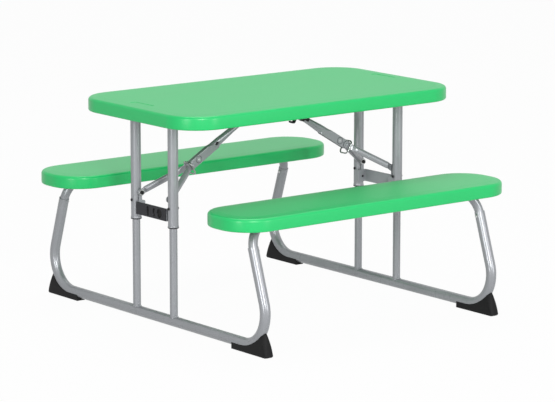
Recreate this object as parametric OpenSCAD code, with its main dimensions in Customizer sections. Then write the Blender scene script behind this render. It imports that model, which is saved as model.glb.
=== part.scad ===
// Kids picnic table: plastic top and two benches on bent steel tubes, folding upper legs.
// Units are millimetres. X runs along the top, Y across it, Z up, origin on the floor.

/* [Table top] */
// length of the table top along X
top_length = 834; // [700:1:950]
// width of the table top along Y
top_width = 468; // [380:1:560]
// corner radius of the table top
top_corner = 90; // [40:1:140]
// height of the top face over the floor
top_height = 533.4; // [450:0.1:620]
// height of the rim around the top
top_depth = 34; // [26:1:45]
// thickness of the flat plate
top_plate = 11.4; // [8:0.1:16]
// wall of the rim
top_wall = 6; // [4:0.5:10]
// half width of the groove under the plate for the folded braces
groove_half = 26; // [22:1:40]
// depth of that groove
groove_depth = 6; // [5:0.5:8]
// from the end of the groove to the leg's centre line
groove_stop = 47; // [27:1:60]

/* [Benches] */
// how far each bench end stands out past the table top
bench_over = 1; // [0:0.5:10]
// width of a bench along Y
bench_width = 188; // [150:1:240]
// radius of the bench ends
bench_corner = 84; // [40:1:92]
// height of the seat over the floor
bench_height = 325; // [280:1:360]
// height of the bench rim
bench_depth = 33; // [28:1:40]
// thickness of the seat plate
bench_plate = 8; // [5:0.5:10]
// wall of the bench rim
bench_wall = 5; // [3:0.5:8]
// distance of the bench middle from the table middle
bench_y = 343; // [320:1:400]

/* [End frames] */
// from the table top's end to the end frame
frame_inset = 70; // [60:1:100]
// outside diameter of the frame tube
tube_d = 25; // [20:0.5:32]
// wall of the frame tube
tube_wall = 1.45; // [1:0.05:2.5]
// height of the rail axis over the floor
rail_z = 19; // [15:0.5:30]
// bend radius of the tube axis
bend_r = 80; // [60:1:110]
// farthest reach of the tube axis along Y
outer_y = 429.5; // [400:0.5:460]
// lean of the frame legs towards the table
lean = 18.3; // [10:0.1:25]
// from the seat's top down to the top of the frame tube
seat_drop = 76; // [60:1:100]

/* [Bench tubes] */
// outside diameter of the bench tube
bench_tube_d = 22; // [18:0.5:26]
// wall of the bench tube
bench_tube_wall = 1.4; // [1:0.1:2.5]
// bend radius of the bench tube
bench_bend = 54; // [40:1:70]
// depth of the plugged joint
plug_depth = 22; // [12:1:30]
// straight piece above the joint
plug_rise = 4; // [2:1:10]
// from the end frame to the bench saddle
bench_saddle_in = 132; // [100:1:180]
// depth of the joint screw below the top of the frame tube
screw_drop = 10; // [6:0.5:16]
// shank radius of the joint screw
screw_r = 2; // [1.5:0.1:2.5]

/* [Uprights] */
// distance of an upright from the middle
upright_y = 75.5; // [60:0.5:110]
// diameter of an upright
upright_d = 19; // [15:0.5:20]
// wall of an upright
upright_wall = 1.3; // [1:0.1:2]
// gap between an upright and the swing of the leg above it
upright_gap = 0.08; // [0.05:0.01:1]

/* [Feet] */
// width of a foot along X
foot_width = 25; // [20:0.5:32]
// length of a foot along the floor
foot_length = 131; // [110:1:150]
// how far a foot stands out past the tube's centre line
foot_heel = 17.5; // [14:0.5:24]
// how far the tip of a foot stands out past the tube's centre line
foot_tip_out = 8.5; // [6:0.5:12]
// height of the upper tip
foot_tip_z = 57; // [40:1:75]
// height of the inner end
foot_end_z = 13; // [9:0.5:18]

/* [Folding legs] */
// depth of the leg pivot below the table top
pivot_drop = 27.4; // [22:0.1:40]
// outside diameter of the leg tube
leg_d = 25; // [20:0.5:28]
// wall of the leg tube
leg_wall = 1.6; // [1:0.1:2.5]
// height of the lower end of the leg tube
leg_end = 246; // [230:1:280]
// outside diameter of the end ring
ring_d = 28; // [26:0.5:30]
// height of the end ring
ring_h = 6; // [4:0.5:10]
// lip of the end ring under the tube
ring_lip = 1; // [0.6:0.1:2]
// height of the small through rivet
leg_rivet_z = 292; // [286:1:300]

/* [Leg saddles] */
// distance of a leg saddle from the middle
saddle_y = 38; // [25:1:48]
// width of a leg saddle along Y
saddle_w = 16; // [10:1:24]
// wall of the saddle around the tube
saddle_wall = 3; // [2:0.5:4]
// running clearance in the saddle
saddle_gap = 0.06; // [0.02:0.01:0.1]

/* [Cross plate] */
// lower edge of the cross plate
cross_z = 259.5; // [250:0.5:265]
// height of the cross plate
cross_h = 31; // [24:0.5:34]
// offset of the sheet from the leg axis, outwards
cross_offset = 7; // [6.5:0.1:9]
// sheet thickness
sheet = 2; // [1.2:0.1:2.5]
// inner face of the ears
ear_y = 58.2; // [56:0.1:60]
// top of the ears
ear_top = 321; // [316:1:335]
// half width of an ear
ear_half = 10; // [8:0.5:12]
// depth of the plate's return flange
flange = 22; // [18:0.5:26]
// width of the sheet that laps the leg
wrap_w = 8; // [5:0.5:10]
// how far that sheet ends below the ear
wrap_low = 4; // [2:0.5:8]
// its thickness on the leg's inner face
wrap_t = 1.6; // [1.2:0.1:2.2]
// thickness of the dark insert
insert_t = 3; // [2:0.1:3.5]

/* [Braces] */
// distance of the upper brace pivot from the middle
brace_x = 14; // [12:0.5:30]
// height of the brace pivots over the leg pivot when folded
brace_rise = 2; // [0:0.5:4]
// height of the lower brace pivot on the leg
ear_pivot_z = 311; // [306:0.5:318]
// radius of the brace pins
pin_r = 3; // [2:0.1:4]
// running clearance around the pins
pin_gap = 0.06; // [0.02:0.01:0.1]
// radius of the upper arm tube
arm_r = 7.5; // [6:0.1:7.5]
// half height of the stamped end of the upper arm
arm_half_h = 11; // [9.5:0.5:12.5]
// half width of the stamped end
arm_half_w = 6; // [5:0.1:6.5]
// length of the stamped end
arm_flat = 78; // [60:1:110]
// thickness of the flat ends of the lower arms
flat_t = 3; // [2:0.5:3]
// radius of the lower arm tube
lower_r = 6.5; // [4:0.1:7]
// middle of the lower arm at the leg
lower_y = 56; // [52:0.5:56]
// distance of the stop rivet from the knee
stop_rivet = 23.4; // [21:0.1:30]

/* [Lock rings] */
// wire radius of the lock ring
wire_r = 1.6; // [1.2:0.1:2]
// half width of the wire axis
lock_w = 14.4; // [14:0.1:15]
// half height of the wire axis
lock_h = 16.9; // [15:0.1:17]
// distance of the ring below the knee
lock_pos = 6.5; // [4:0.5:8]
// drop of the ring under the brace axis
lock_drop = 4; // [2:0.5:4]

/* [Clip] */
// distance of the clip from the brace pivot
clip_pos = 88; // [84:1:92]
// length of the clip body
clip_len = 30; // [20:1:36]
// wall of the clip
clip_wall = 3; // [2:0.1:3.5]

/* [Hidden] */
fine = 64;
fit = 0.05;
rim_round = 7;
frame_x = top_length / 2 - frame_inset;
bench_length = top_length + 2 * bench_over;
bench_saddle_x = frame_x - bench_saddle_in;
groove_reach = frame_x - groove_stop;
pivot_z = top_height - pivot_drop;
frame_top = bench_height - seat_drop;
foot_outer = outer_y + foot_heel;
foot_inner = foot_outer - foot_length;
foot_tip_y = outer_y + foot_tip_out;
// end frame, whose straight legs overlap the bends a little and are a hair larger
bend_lap = 0.5;
bend_step = 0.01;
bend_y = outer_y - bend_r;
bend_z = rail_z + bend_r;
leg_y0 = bend_y + bend_r * cos(lean);
leg_z0 = bend_z + bend_r * sin(lean);
leg_run = (frame_top - leg_z0) / cos(lean);
top_y = leg_y0 - leg_run * sin(lean);
run_z = plug_rise + bench_bend;
run_y = top_y - run_z * sin(lean);
run_h = frame_top + run_z * cos(lean);
// leg and upright ends
ring_face = upright_d / 2 + 1.5;
swing_r = sqrt(pow(ring_face, 2) + pow(pivot_z - leg_end + ring_lip, 2));
upright_top = pivot_z - swing_r - upright_gap;
// brace linkage
brace_z = pivot_z + brace_rise;
ear_x = frame_x - brace_rise;
fold_x = frame_x - (pivot_z - ear_pivot_z);
stretch = sqrt(pow(ear_x - brace_x, 2) + pow(brace_z - ear_pivot_z, 2));
folded = fold_x - brace_x;
arm_a = (stretch + folded) / 2;
arm_b = (stretch - folded) / 2;
slope = atan2(brace_z - ear_pivot_z, ear_x - brace_x);
flat_y = arm_half_w + 0.4 + flat_t / 2;
// the clip clears the inner face and the lower edge of the folded cross plate
clip_flat = cross_offset + brace_rise - 0.4;
clip_strap = frame_x - (pivot_z - cross_z) - brace_x - 3.5;
steel = [0.62, 0.63, 0.64];
zinc = [0.75, 0.76, 0.78];
black = [0.16, 0.16, 0.17];
green = [0.32, 0.78, 0.48];

// turns local X, Y, Z into world Y, Z, X
module yz() {
  rotate([90, 0, 90]) children();
}

// places a child built for the right end at either end
module end_at(side) {
  rotate([0, 0, side > 0 ? 0 : 180]) children();
}

// ring-shaped cross-section of a tube
module tube_ring(r, wall) {
  difference() {
    circle(r, $fn = 48);
    circle(r - wall, $fn = 48);
  }
}

// straight hollow tube along Z
module pipe(h, r, wall) {
  difference() {
    cylinder(h = h, r = r, $fn = 48);
    translate([0, 0, -1]) cylinder(h = h + 2, r = r - wall, $fn = 48);
  }
}

// hollow frame tube at the origin of X
module frame_path(r, wall) {
  translate([0, -bend_y, rail_z]) rotate([-90, 0, 0]) pipe(2 * bend_y, r, wall);
  for (s = [0, 1]) {
    mirror([0, s, 0]) {
      translate([0, bend_y, bend_z]) yz() rotate([0, 0, -90])
        rotate_extrude(angle = 90 + lean, $fn = 72) translate([bend_r, 0]) tube_ring(r, wall);
      translate([0, leg_y0, leg_z0]) rotate([lean, 0, 0]) translate([0, 0, -bend_lap])
        pipe(leg_run + bend_lap, r + bend_step, wall);
    }
  }
}

module joint_hole(x, s) {
  mirror([0, s, 0]) translate([x, top_y, frame_top]) rotate([lean, 0, 0])
    translate([-tube_d, 0, -screw_drop]) rotate([0, 90, 0])
      cylinder(h = tube_d, r = screw_r + fit, $fn = 24);
}

module frame(side) {
  color(steel) end_at(side) difference() {
    translate([frame_x, 0, 0]) frame_path(tube_d / 2, tube_wall);
    joint_hole(frame_x, 0);
    joint_hole(frame_x, 1);
  }
}

module upright(side, s) {
  color(steel) translate([side * frame_x, s * upright_y, 0]) difference() {
    translate([0, 0, rail_z]) cylinder(h = upright_top - rail_z, d = upright_d, $fn = fine);
    translate([0, 0, rail_z - 1])
      cylinder(h = upright_top, d = upright_d - 2 * upright_wall, $fn = fine);
    translate([0, -30, rail_z]) rotate([-90, 0, 0])
      cylinder(h = 60, d = tube_d + 0.02, $fn = fine);
  }
}

module foot(side, s) {
  ring_in = bend_r + 6;
  color(black) mirror([0, s > 0 ? 0 : 1, 0]) translate([side * frame_x, 0, 0]) difference() {
    translate([-foot_width / 2, 0, 0]) yz() linear_extrude(height = foot_width) difference() {
      polygon([[foot_inner, 0], [foot_outer - 3, 0], [foot_outer, 3],
        [foot_tip_y, foot_tip_z - 2], [foot_tip_y - 2, foot_tip_z],
        [foot_tip_y - 40, foot_tip_z], [bend_y, foot_end_z], [foot_inner, foot_end_z]]);
      translate([bend_y, bend_z]) circle(ring_in, $fn = 120);
    }
    translate([0, bend_y, bend_z]) yz() rotate([0, 0, -90])
      rotate_extrude(angle = 80, $fn = 72) translate([bend_r, 0])
        circle(tube_d / 2 + fit, $fn = 48);
    translate([0, foot_inner - 20, rail_z]) rotate([-90, 0, 0])
      cylinder(h = bend_y - foot_inner + 20, r = tube_d / 2 + fit, $fn = 48);
  }
}

// hollow bench tube in its leaning plane
module bench_path(r, wall) {
  run = frame_x - bench_bend;
  translate([-run, 0, run_z]) rotate([0, 90, 0]) pipe(2 * run, r, wall);
  for (m = [0, 1]) {
    mirror([m, 0, 0]) {
      translate([run, 0, plug_rise]) rotate([90, 0, 0])
        rotate_extrude(angle = 90, $fn = 72) translate([bench_bend, 0]) tube_ring(r, wall);
      translate([frame_x, 0, -plug_depth]) pipe(plug_depth + plug_rise, r, wall);
    }
  }
}

module bench_tube(s) {
  color(steel) mirror([0, s > 0 ? 0 : 1, 0]) difference() {
    translate([0, top_y, frame_top]) rotate([lean, 0, 0])
      bench_path(bench_tube_d / 2, bench_tube_wall);
    joint_hole(frame_x, 0);
    rotate([0, 0, 180]) mirror([0, 1, 0]) joint_hole(frame_x, 0);
  }
}

module joint_screw(side, s) {
  face = tube_d / 2 + bend_step + 0.02;
  color(zinc) mirror([0, s > 0 ? 0 : 1, 0]) mirror([side > 0 ? 0 : 1, 0, 0])
    translate([frame_x, top_y, frame_top]) rotate([lean, 0, 0]) translate([0, 0, -screw_drop]) {
      translate([-face - 1.8, 0, 0]) rotate([0, 90, 0]) cylinder(h = 1.8, r = 4.2, $fn = 32);
      translate([-face - 0.5, 0, 0]) rotate([0, 90, 0]) cylinder(h = 6, r = screw_r, $fn = 24);
    }
}

// moulded panel: plate with a rim and softened edges, underside at z = 0
module panel(len, wid, rad, deep, plate, wall) {
  prof = [[0, deep - plate], [rad - wall - 5, deep - plate], [rad - wall, deep - plate - 5],
    [rad - wall, 1.5], [rad - wall + 1.5, 0], [rad - 3, 0], [rad - 0.8, 1.2], [rad, 4],
    [rad, deep - rim_round], [rad - 0.9, deep - rim_round * 0.5],
    [rad - rim_round * 0.5, deep - 0.9], [rad - rim_round, deep], [0, deep]];
  hx = len / 2 - rad;
  hy = wid / 2 - rad;
  for (q = [[0, hx, hy], [90, -hx, hy], [180, -hx, -hy], [270, hx, -hy]]) {
    translate([q[1], q[2], 0]) rotate([0, 0, q[0]])
      rotate_extrude(angle = 90, $fn = 96) polygon(prof);
  }
  for (m = [0, 1]) {
    mirror([m, 0, 0]) translate([hx, hy, 0]) rotate([90, 0, 0])
      linear_extrude(height = 2 * hy) polygon(prof);
    mirror([0, m, 0]) translate([-hx, hy, 0]) rotate([90, 0, 90])
      linear_extrude(height = 2 * hx) polygon(prof);
  }
  translate([-hx, -hy, deep - plate]) cube([2 * hx, 2 * hy, plate]);
}

module bench(s) {
  color(green) translate([0, s * bench_y, bench_height - bench_depth])
    panel(bench_length, bench_width, bench_corner, bench_depth, bench_plate, bench_wall);
}

module bench_saddle(side, s) {
  w = 22;
  r = bench_tube_d / 2 + 1.8;
  under = bench_height - bench_plate;
  color(zinc) translate([side * bench_saddle_x - w / 2, s * run_y, 0]) difference() {
    union() {
      translate([0, 0, run_h]) rotate([0, 90, 0])
        cylinder(h = w, r = r, $fn = fine);
      translate([0, -r, run_h]) cube([w, 2 * r, under - run_h]);
      translate([0, -26, under - 2.5]) cube([w, 52, 2.5]);
    }
    translate([-1, 0, run_h]) rotate([0, 90, 0])
      cylinder(h = w + 2, r = bench_tube_d / 2 + fit, $fn = fine);
  }
}

module tabletop() {
  color(green) difference() {
    translate([0, 0, top_height - top_depth])
      panel(top_length, top_width, top_corner, top_depth, top_plate, top_wall);
    translate([-groove_reach, -groove_half, top_height - top_plate - 1])
      cube([2 * groove_reach, 2 * groove_half, groove_depth + 1]);
  }
}

module brace_bracket() {
  base = top_height - top_plate + groove_depth;
  in_y = arm_r + 0.5;
  color(steel) {
    translate([-30, -22, base - 2]) cube([60, 44, 2]);
    for (s = [-1, 1]) {
      translate([-26, s > 0 ? in_y : -in_y - 2.5, brace_z - 8]) cube([52, 2.5, base - brace_z + 7]);
    }
  }
  color(zinc) for (x = [-brace_x, brace_x]) {
    translate([x, -in_y - 4.5, brace_z]) rotate([-90, 0, 0]) cylinder(h = 2.1, r = 5.5, $fn = 32);
    translate([x, in_y + 2.4, brace_z]) rotate([-90, 0, 0]) cylinder(h = 2.1, r = 5.5, $fn = 32);
    translate([x, -in_y - 3, brace_z]) rotate([-90, 0, 0])
      cylinder(h = 2 * in_y + 6, r = pin_r, $fn = 48);
  }
}

module leg_saddle(side, s) {
  r = leg_d / 2 + saddle_wall;
  under = top_height - top_plate;
  color(zinc) translate([side * frame_x, s * saddle_y - saddle_w / 2, 0]) difference() {
    union() {
      translate([0, 0, pivot_z]) rotate([-90, 0, 0]) cylinder(h = saddle_w, r = r, $fn = fine);
      translate([-r, 0, pivot_z]) cube([2 * r, saddle_w, under - pivot_z]);
      translate([-r - 13, 0, under - 2.5]) cube([2 * r + 26, saddle_w, 2.5]);
    }
    translate([0, -1, pivot_z]) rotate([-90, 0, 0])
      cylinder(h = saddle_w + 2, r = leg_d / 2 + saddle_gap, $fn = fine);
  }
}

module leg_shape(r, cut) {
  for (s = [-1, 1]) {
    translate([frame_x, s * upright_y, leg_end - cut])
      cylinder(h = pivot_z - leg_end + cut, r = r, $fn = fine);
    translate([frame_x, s * upright_y, pivot_z]) sphere(r, $fn = fine);
  }
  translate([frame_x, -upright_y, pivot_z]) rotate([-90, 0, 0])
    cylinder(h = 2 * upright_y, r = r, $fn = fine);
}

module leg(side) {
  color(steel) end_at(side) difference() {
    leg_shape(leg_d / 2, 0);
    leg_shape(leg_d / 2 - leg_wall, 2);
    for (s = [-1, 1]) {
      translate([frame_x - 20, s * upright_y, leg_rivet_z]) rotate([0, 90, 0])
        cylinder(h = 40, r = 2 + fit, $fn = 24);
    }
  }
}

module leg_ring(side, s) {
  color(black) translate([side * frame_x, s * upright_y, leg_end - ring_lip]) difference() {
    union() {
      cylinder(h = 0.8, r1 = ring_face, r2 = ring_d / 2, $fn = fine);
      translate([0, 0, 0.8]) cylinder(h = ring_h - 0.8, d = ring_d, $fn = fine);
    }
    translate([0, 0, ring_lip]) cylinder(h = ring_h, r = leg_d / 2 + fit, $fn = fine);
    translate([0, 0, -1]) cylinder(h = ring_h, r = upright_d / 2 - 0.8, $fn = fine);
  }
}

module leg_rivet(side, s) {
  reach = leg_d / 2 + 1.65;
  color(black) translate([side * frame_x, s * upright_y, leg_rivet_z]) rotate([0, 90, 0]) {
    translate([0, 0, -reach - 1.3]) cylinder(h = 1.3, r = 3.6, $fn = 32);
    translate([0, 0, reach]) cylinder(h = 1.3, r = 3.6, $fn = 32);
    translate([0, 0, -reach - 0.5]) cylinder(h = 2 * reach + 1, r = 2, $fn = 24);
  }
}

module cross_plate(side) {
  x0 = frame_x + cross_offset;
  color(steel) end_at(side) difference() {
    union() {
      translate([x0, -ear_y - sheet, cross_z]) cube([sheet, 2 * ear_y + 2 * sheet, cross_h]);
      for (s = [0, 1]) {
        mirror([0, s, 0]) {
          translate([x0 - flange, ear_y, cross_z]) cube([flange + sheet, sheet, cross_h]);
          translate([ear_x - ear_half, ear_y, cross_z])
            cube([2 * ear_half, sheet, ear_pivot_z - cross_z]);
          translate([ear_x, ear_y, ear_pivot_z]) rotate([-90, 0, 0])
            cylinder(h = sheet, r = ear_top - ear_pivot_z, $fn = 48);
          translate([x0 - flange, ear_y, cross_z])
            cube([wrap_w, upright_y - ear_y, ear_top - wrap_low - cross_z]);
        }
      }
    }
    for (s = [-1, 1]) {
      translate([frame_x, s * upright_y, cross_z - 1])
        cylinder(h = ear_top, r = leg_d / 2 + fit, $fn = fine);
      translate([frame_x - leg_d / 2 - wrap_t - leg_d, s * upright_y - leg_d, cross_z - 1])
        cube([leg_d, 2 * leg_d, ear_top]);
    }
    for (s = [-1, 1]) {
      translate([frame_x - 20, s * upright_y, leg_rivet_z]) rotate([0, 90, 0])
        cylinder(h = 20, r = 2 + fit, $fn = 24);
    }
    translate([ear_x, -upright_y, ear_pivot_z]) rotate([-90, 0, 0])
      cylinder(h = 2 * upright_y, r = pin_r + 0.3, $fn = 32);
  }
}

module cross_insert(side) {
  x0 = frame_x + cross_offset + sheet;
  color(black) end_at(side) difference() {
    translate([x0, -ear_y - sheet, cross_z + 0.5])
      cube([insert_t, 2 * ear_y + 2 * sheet, cross_h - 1]);
    for (y = [-12, 13]) {
      translate([x0 - 1, y - 2, cross_z + 7]) cube([insert_t + 2, 4, 17]);
    }
    translate([x0 + 1.2, 36, cross_z + 16]) rotate([0, 90, 0]) cylinder(h = 3, r = 8, $fn = 48);
    for (s = [-1, 1]) {
      translate([frame_x, s * upright_y, cross_z - 1])
        cylinder(h = ear_top, r = leg_d / 2 + fit, $fn = fine);
    }
  }
}

// arm frame: origin on the upper pivot, local X along the brace
module arm_at(side) {
  end_at(side) translate([brace_x, 0, brace_z]) rotate([0, slope, 0]) children();
}

module bar_y(x, r, h) {
  translate([x, -h, 0]) rotate([-90, 0, 0]) cylinder(h = 2 * h, r = r, $fn = 48);
}

module upper_arm(side) {
  color(steel) arm_at(side) difference() {
    union() {
      bar_y(0, 9, arm_half_w);
      translate([0, -arm_half_w, -6]) cube([16, 2 * arm_half_w, 12]);
      translate([12, 0, 0]) rotate([0, 90, 0])
        cylinder(h = arm_a - arm_flat - 8, r = arm_r, $fn = fine);
      hull() {
        translate([arm_a - arm_flat - 14, 0, 0]) rotate([0, 90, 0])
          cylinder(h = 1, r = arm_half_w, $fn = 32);
        translate([arm_a - arm_flat + 12, -arm_half_w, -arm_half_h])
          cube([1, 2 * arm_half_w, 2 * arm_half_h]);
      }
      translate([arm_a - arm_flat + 12, -arm_half_w, -arm_half_h])
        cube([arm_flat - 12, 2 * arm_half_w, 2 * arm_half_h]);
      bar_y(arm_a, arm_half_h, arm_half_w);
    }
    translate([arm_a - arm_flat + 16, -arm_half_w + 1.8, -arm_half_h - 1])
      cube([arm_flat + 10, 2 * arm_half_w - 3.6, 2 * arm_half_h - 1.5]);
    bar_y(0, pin_r + pin_gap, 20);
    bar_y(arm_a, pin_r + pin_gap, 20);
    bar_y(arm_a - stop_rivet, 2 + fit, 20);
  }
}

module stop_rivet(side) {
  color(zinc) arm_at(side) {
    bar_y(arm_a - stop_rivet, 2, arm_half_w + 0.2);
    for (s = [0, 1]) {
      mirror([0, s, 0]) translate([arm_a - stop_rivet, arm_half_w, 0]) rotate([-90, 0, 0])
        cylinder(h = 0.3, r = 4.5, $fn = 32);
    }
  }
}

module lower_arm(side, s) {
  m = (side > 0 ? s : -s) > 0 ? 0 : 1;
  color(steel) arm_at(side) mirror([0, m, 0]) translate([arm_a, 0, 0]) difference() {
    union() {
      hull() {
        translate([0, flat_y - flat_t / 2, 0]) rotate([-90, 0, 0])
          cylinder(h = flat_t, r = 9.5, $fn = 32);
        translate([15, flat_y - flat_t / 2, 0]) rotate([-90, 0, 0])
          cylinder(h = flat_t, r = 7.5, $fn = 32);
      }
      hull() {
        translate([14.5, flat_y - flat_t / 2, 0]) rotate([-90, 0, 0])
          cylinder(h = flat_t, r = 7, $fn = 32);
        translate([30, flat_y + (lower_y - flat_y) * 18 / (arm_b - 24), 0])
          sphere(lower_r, $fn = 24);
      }
      tube_between([28, flat_y + (lower_y - flat_y) * 16 / (arm_b - 24), 0],
        [arm_b - 28, flat_y + (lower_y - flat_y) * (arm_b - 40) / (arm_b - 24), 0], lower_r);
      hull() {
        translate([arm_b - 30, flat_y + (lower_y - flat_y) * (arm_b - 42) / (arm_b - 24), 0])
          sphere(lower_r, $fn = 24);
        translate([arm_b - 14, lower_y - flat_t / 2, 0]) rotate([-90, 0, 0])
          cylinder(h = flat_t, r = 6.5, $fn = 32);
      }
      hull() {
        translate([arm_b - 14, lower_y - flat_t / 2, 0]) rotate([-90, 0, 0])
          cylinder(h = flat_t, r = 7, $fn = 32);
        translate([arm_b, lower_y - flat_t / 2, 0]) rotate([-90, 0, 0])
          cylinder(h = flat_t, r = 8, $fn = 32);
      }
    }
    bar_y(0, pin_r + fit, lower_y);
    bar_y(arm_b, pin_r + fit, lower_y + 10);
    translate([-arm_b / 2, -1, -arm_half_h]) cube([2 * arm_b, 1 + flat_y - flat_t / 2, 2 * arm_half_h]);
    translate([arm_b / 2, lower_y + flat_t / 2, -arm_half_h]) cube([arm_b, arm_half_h, 2 * arm_half_h]);
  }
}

module tube_between(a, b, r) {
  d = b - a;
  translate(a) rotate([0, 0, atan2(d[1], d[0])]) rotate([0, 90, 0])
    cylinder(h = norm(d), r = r, $fn = 48);
}

module knee_pin(side) {
  out = flat_y + flat_t / 2;
  head = lock_w - wire_r - 0.3 - out;
  color(zinc) arm_at(side) {
    bar_y(arm_a, pin_r, out + 0.5);
    for (s = [0, 1]) {
      mirror([0, s, 0]) translate([arm_a, out, 0]) rotate([-90, 0, 0])
        cylinder(h = head, r = 5.5, $fn = 32);
    }
  }
}

module brace_bolt(side, s) {
  m = (side > 0 ? s : -s) > 0 ? 0 : 1;
  color(black) arm_at(side) mirror([0, m, 0]) translate([arm_a + arm_b, 0, 0]) {
    translate([0, lower_y - flat_t / 2 - 4, 0]) rotate([-90, 0, 0])
      cylinder(h = 4, r = 5.5, $fn = 6);
    translate([0, lower_y - flat_t / 2 - 1, 0]) rotate([-90, 0, 0])
      cylinder(h = flat_t + 1.4, r = pin_r, $fn = 32);
  }
}

module lock_ring(side) {
  color(zinc) arm_at(side) translate([arm_a + lock_pos, 0, -lock_drop]) {
    for (s = [-1, 1]) {
      translate([0, s * lock_w, -lock_h]) cylinder(h = 2 * lock_h, r = wire_r, $fn = 32);
      translate([0, -lock_w, s * lock_h]) rotate([-90, 0, 0])
        cylinder(h = 2 * lock_w, r = wire_r, $fn = 32);
      for (t = [-1, 1]) {
        translate([0, s * lock_w, t * lock_h]) sphere(wire_r, $fn = 32);
      }
    }
  }
}

module brace_clip() {
  ro = arm_r + clip_wall;
  color(black) arm_at(1) {
    difference() {
      union() {
        translate([clip_pos, 0, 0]) rotate([0, 90, 0]) cylinder(h = clip_len, r = ro, $fn = fine);
        translate([clip_strap, -6, -ro]) cube([clip_pos + 8 - clip_strap, 12, ro]);
      }
      translate([clip_pos - 10, 0, 0]) rotate([0, 90, 0])
        cylinder(h = clip_len + 20, r = arm_r + fit, $fn = fine);
      translate([clip_pos - 10, -12, -ro - 1]) cube([clip_len + 20, 24, ro + 1 - clip_flat]);
      translate([clip_pos + 8, -12, -ro - 1]) cube([clip_len, 24, ro - 3]);
    }
    translate([clip_strap, -6, -ro - 14]) cube([3, 12, clip_wall + 13.5]);
    translate([clip_strap - 10, -6, -ro - 17]) cube([13, 12, 3]);
    translate([clip_strap - 12, -6, -ro - 17]) cube([3, 12, 7]);
  }
}

frame(-1);  // frame_left
frame(1);  // frame_right
upright(-1, -1);  // upright_left_near
upright(-1, 1);  // upright_left_far
upright(1, -1);  // upright_right_near
upright(1, 1);  // upright_right_far
foot(-1, -1);  // foot_left_near
foot(-1, 1);  // foot_left_far
foot(1, -1);  // foot_right_near
foot(1, 1);  // foot_right_far
bench_tube(-1);  // bench_tube_near
bench_tube(1);  // bench_tube_far
bench(-1);  // bench_near
bench(1);  // bench_far
joint_screw(-1, -1);  // joint_screw_left_near
joint_screw(-1, 1);  // joint_screw_left_far
joint_screw(1, -1);  // joint_screw_right_near
joint_screw(1, 1);  // joint_screw_right_far
bench_saddle(-1, -1);  // bench_saddle_left_near
bench_saddle(-1, 1);  // bench_saddle_left_far
bench_saddle(1, -1);  // bench_saddle_right_near
bench_saddle(1, 1);  // bench_saddle_right_far
tabletop();
brace_bracket();
leg_saddle(-1, -1);  // leg_saddle_left_near
leg_saddle(-1, 1);  // leg_saddle_left_far
leg_saddle(1, -1);  // leg_saddle_right_near
leg_saddle(1, 1);  // leg_saddle_right_far
leg(-1);  // leg_left
leg(1);  // leg_right
cross_plate(-1);  // cross_plate_left
cross_plate(1);  // cross_plate_right
cross_insert(-1);  // cross_insert_left
cross_insert(1);  // cross_insert_right
leg_ring(-1, -1);  // leg_ring_left_near
leg_ring(-1, 1);  // leg_ring_left_far
leg_ring(1, -1);  // leg_ring_right_near
leg_ring(1, 1);  // leg_ring_right_far
leg_rivet(-1, -1);  // leg_rivet_left_near
leg_rivet(-1, 1);  // leg_rivet_left_far
leg_rivet(1, -1);  // leg_rivet_right_near
leg_rivet(1, 1);  // leg_rivet_right_far
upper_arm(-1);  // upper_arm_left
upper_arm(1);  // upper_arm_right
stop_rivet(-1);  // stop_rivet_left
stop_rivet(1);  // stop_rivet_right
lower_arm(-1, -1);  // lower_arm_left_near
lower_arm(-1, 1);  // lower_arm_left_far
lower_arm(1, -1);  // lower_arm_right_near
lower_arm(1, 1);  // lower_arm_right_far
knee_pin(-1);  // knee_pin_left
knee_pin(1);  // knee_pin_right
brace_bolt(-1, -1);  // brace_bolt_left_near
brace_bolt(-1, 1);  // brace_bolt_left_far
brace_bolt(1, -1);  // brace_bolt_right_near
brace_bolt(1, 1);  // brace_bolt_right_far
lock_ring(-1);  // lock_ring_left
lock_ring(1);  // lock_ring_right
brace_clip();
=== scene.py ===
"""Looks of a child's folding picnic table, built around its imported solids.

Every shape is a numpy surface in millimetres, in the frame of the solids, and becomes a mesh
in metres with its place in its vertices. The materials are node trees written as expressions.
"""

import logging
import math
from collections.abc import Sequence
from dataclasses import dataclass, field
from enum import Enum
from functools import cached_property

import bmesh
import bpy
import numpy as np
from bpy.types import ID, Material, Modifier, Node, NodeSocket, Object, World
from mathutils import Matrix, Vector


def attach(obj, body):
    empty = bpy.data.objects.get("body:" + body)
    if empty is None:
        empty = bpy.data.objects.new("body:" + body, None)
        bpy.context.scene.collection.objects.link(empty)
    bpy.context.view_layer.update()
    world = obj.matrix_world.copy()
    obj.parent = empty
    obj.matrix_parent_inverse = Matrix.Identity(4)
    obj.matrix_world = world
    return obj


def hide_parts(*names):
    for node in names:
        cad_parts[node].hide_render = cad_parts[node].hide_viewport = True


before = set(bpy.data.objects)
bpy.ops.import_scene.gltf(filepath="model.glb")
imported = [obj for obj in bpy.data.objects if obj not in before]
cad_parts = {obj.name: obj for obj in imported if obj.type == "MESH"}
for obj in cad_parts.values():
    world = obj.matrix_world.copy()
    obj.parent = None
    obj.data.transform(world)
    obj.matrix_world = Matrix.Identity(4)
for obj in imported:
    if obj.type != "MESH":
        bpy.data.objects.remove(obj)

logging.basicConfig(level=logging.INFO, format="%(message)s")
log = logging.getLogger("picnic_table")

MM = 0.001
MERGED, SLIVER = 2e-6, 1e-7  # metres: points this close are one, edges this short go
WELDED = 1e-6  # metres between doubled points of a solid that is kept
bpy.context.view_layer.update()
Grid = np.ndarray
Pair = tuple[float, float]
Triple = tuple[float, float, float]
Quad = tuple[float, float, float, float]
Profile = Sequence[Pair]


class Named(Enum):
    """A choice whose value is the sign of its place along an axis."""

    @property
    def word(self) -> str:
        """The choice's name in lower case."""
        return self.name.lower()


class End(Named):
    """The two ends of the table, with the sign of their X."""

    LEFT = -1
    RIGHT = 1


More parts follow.
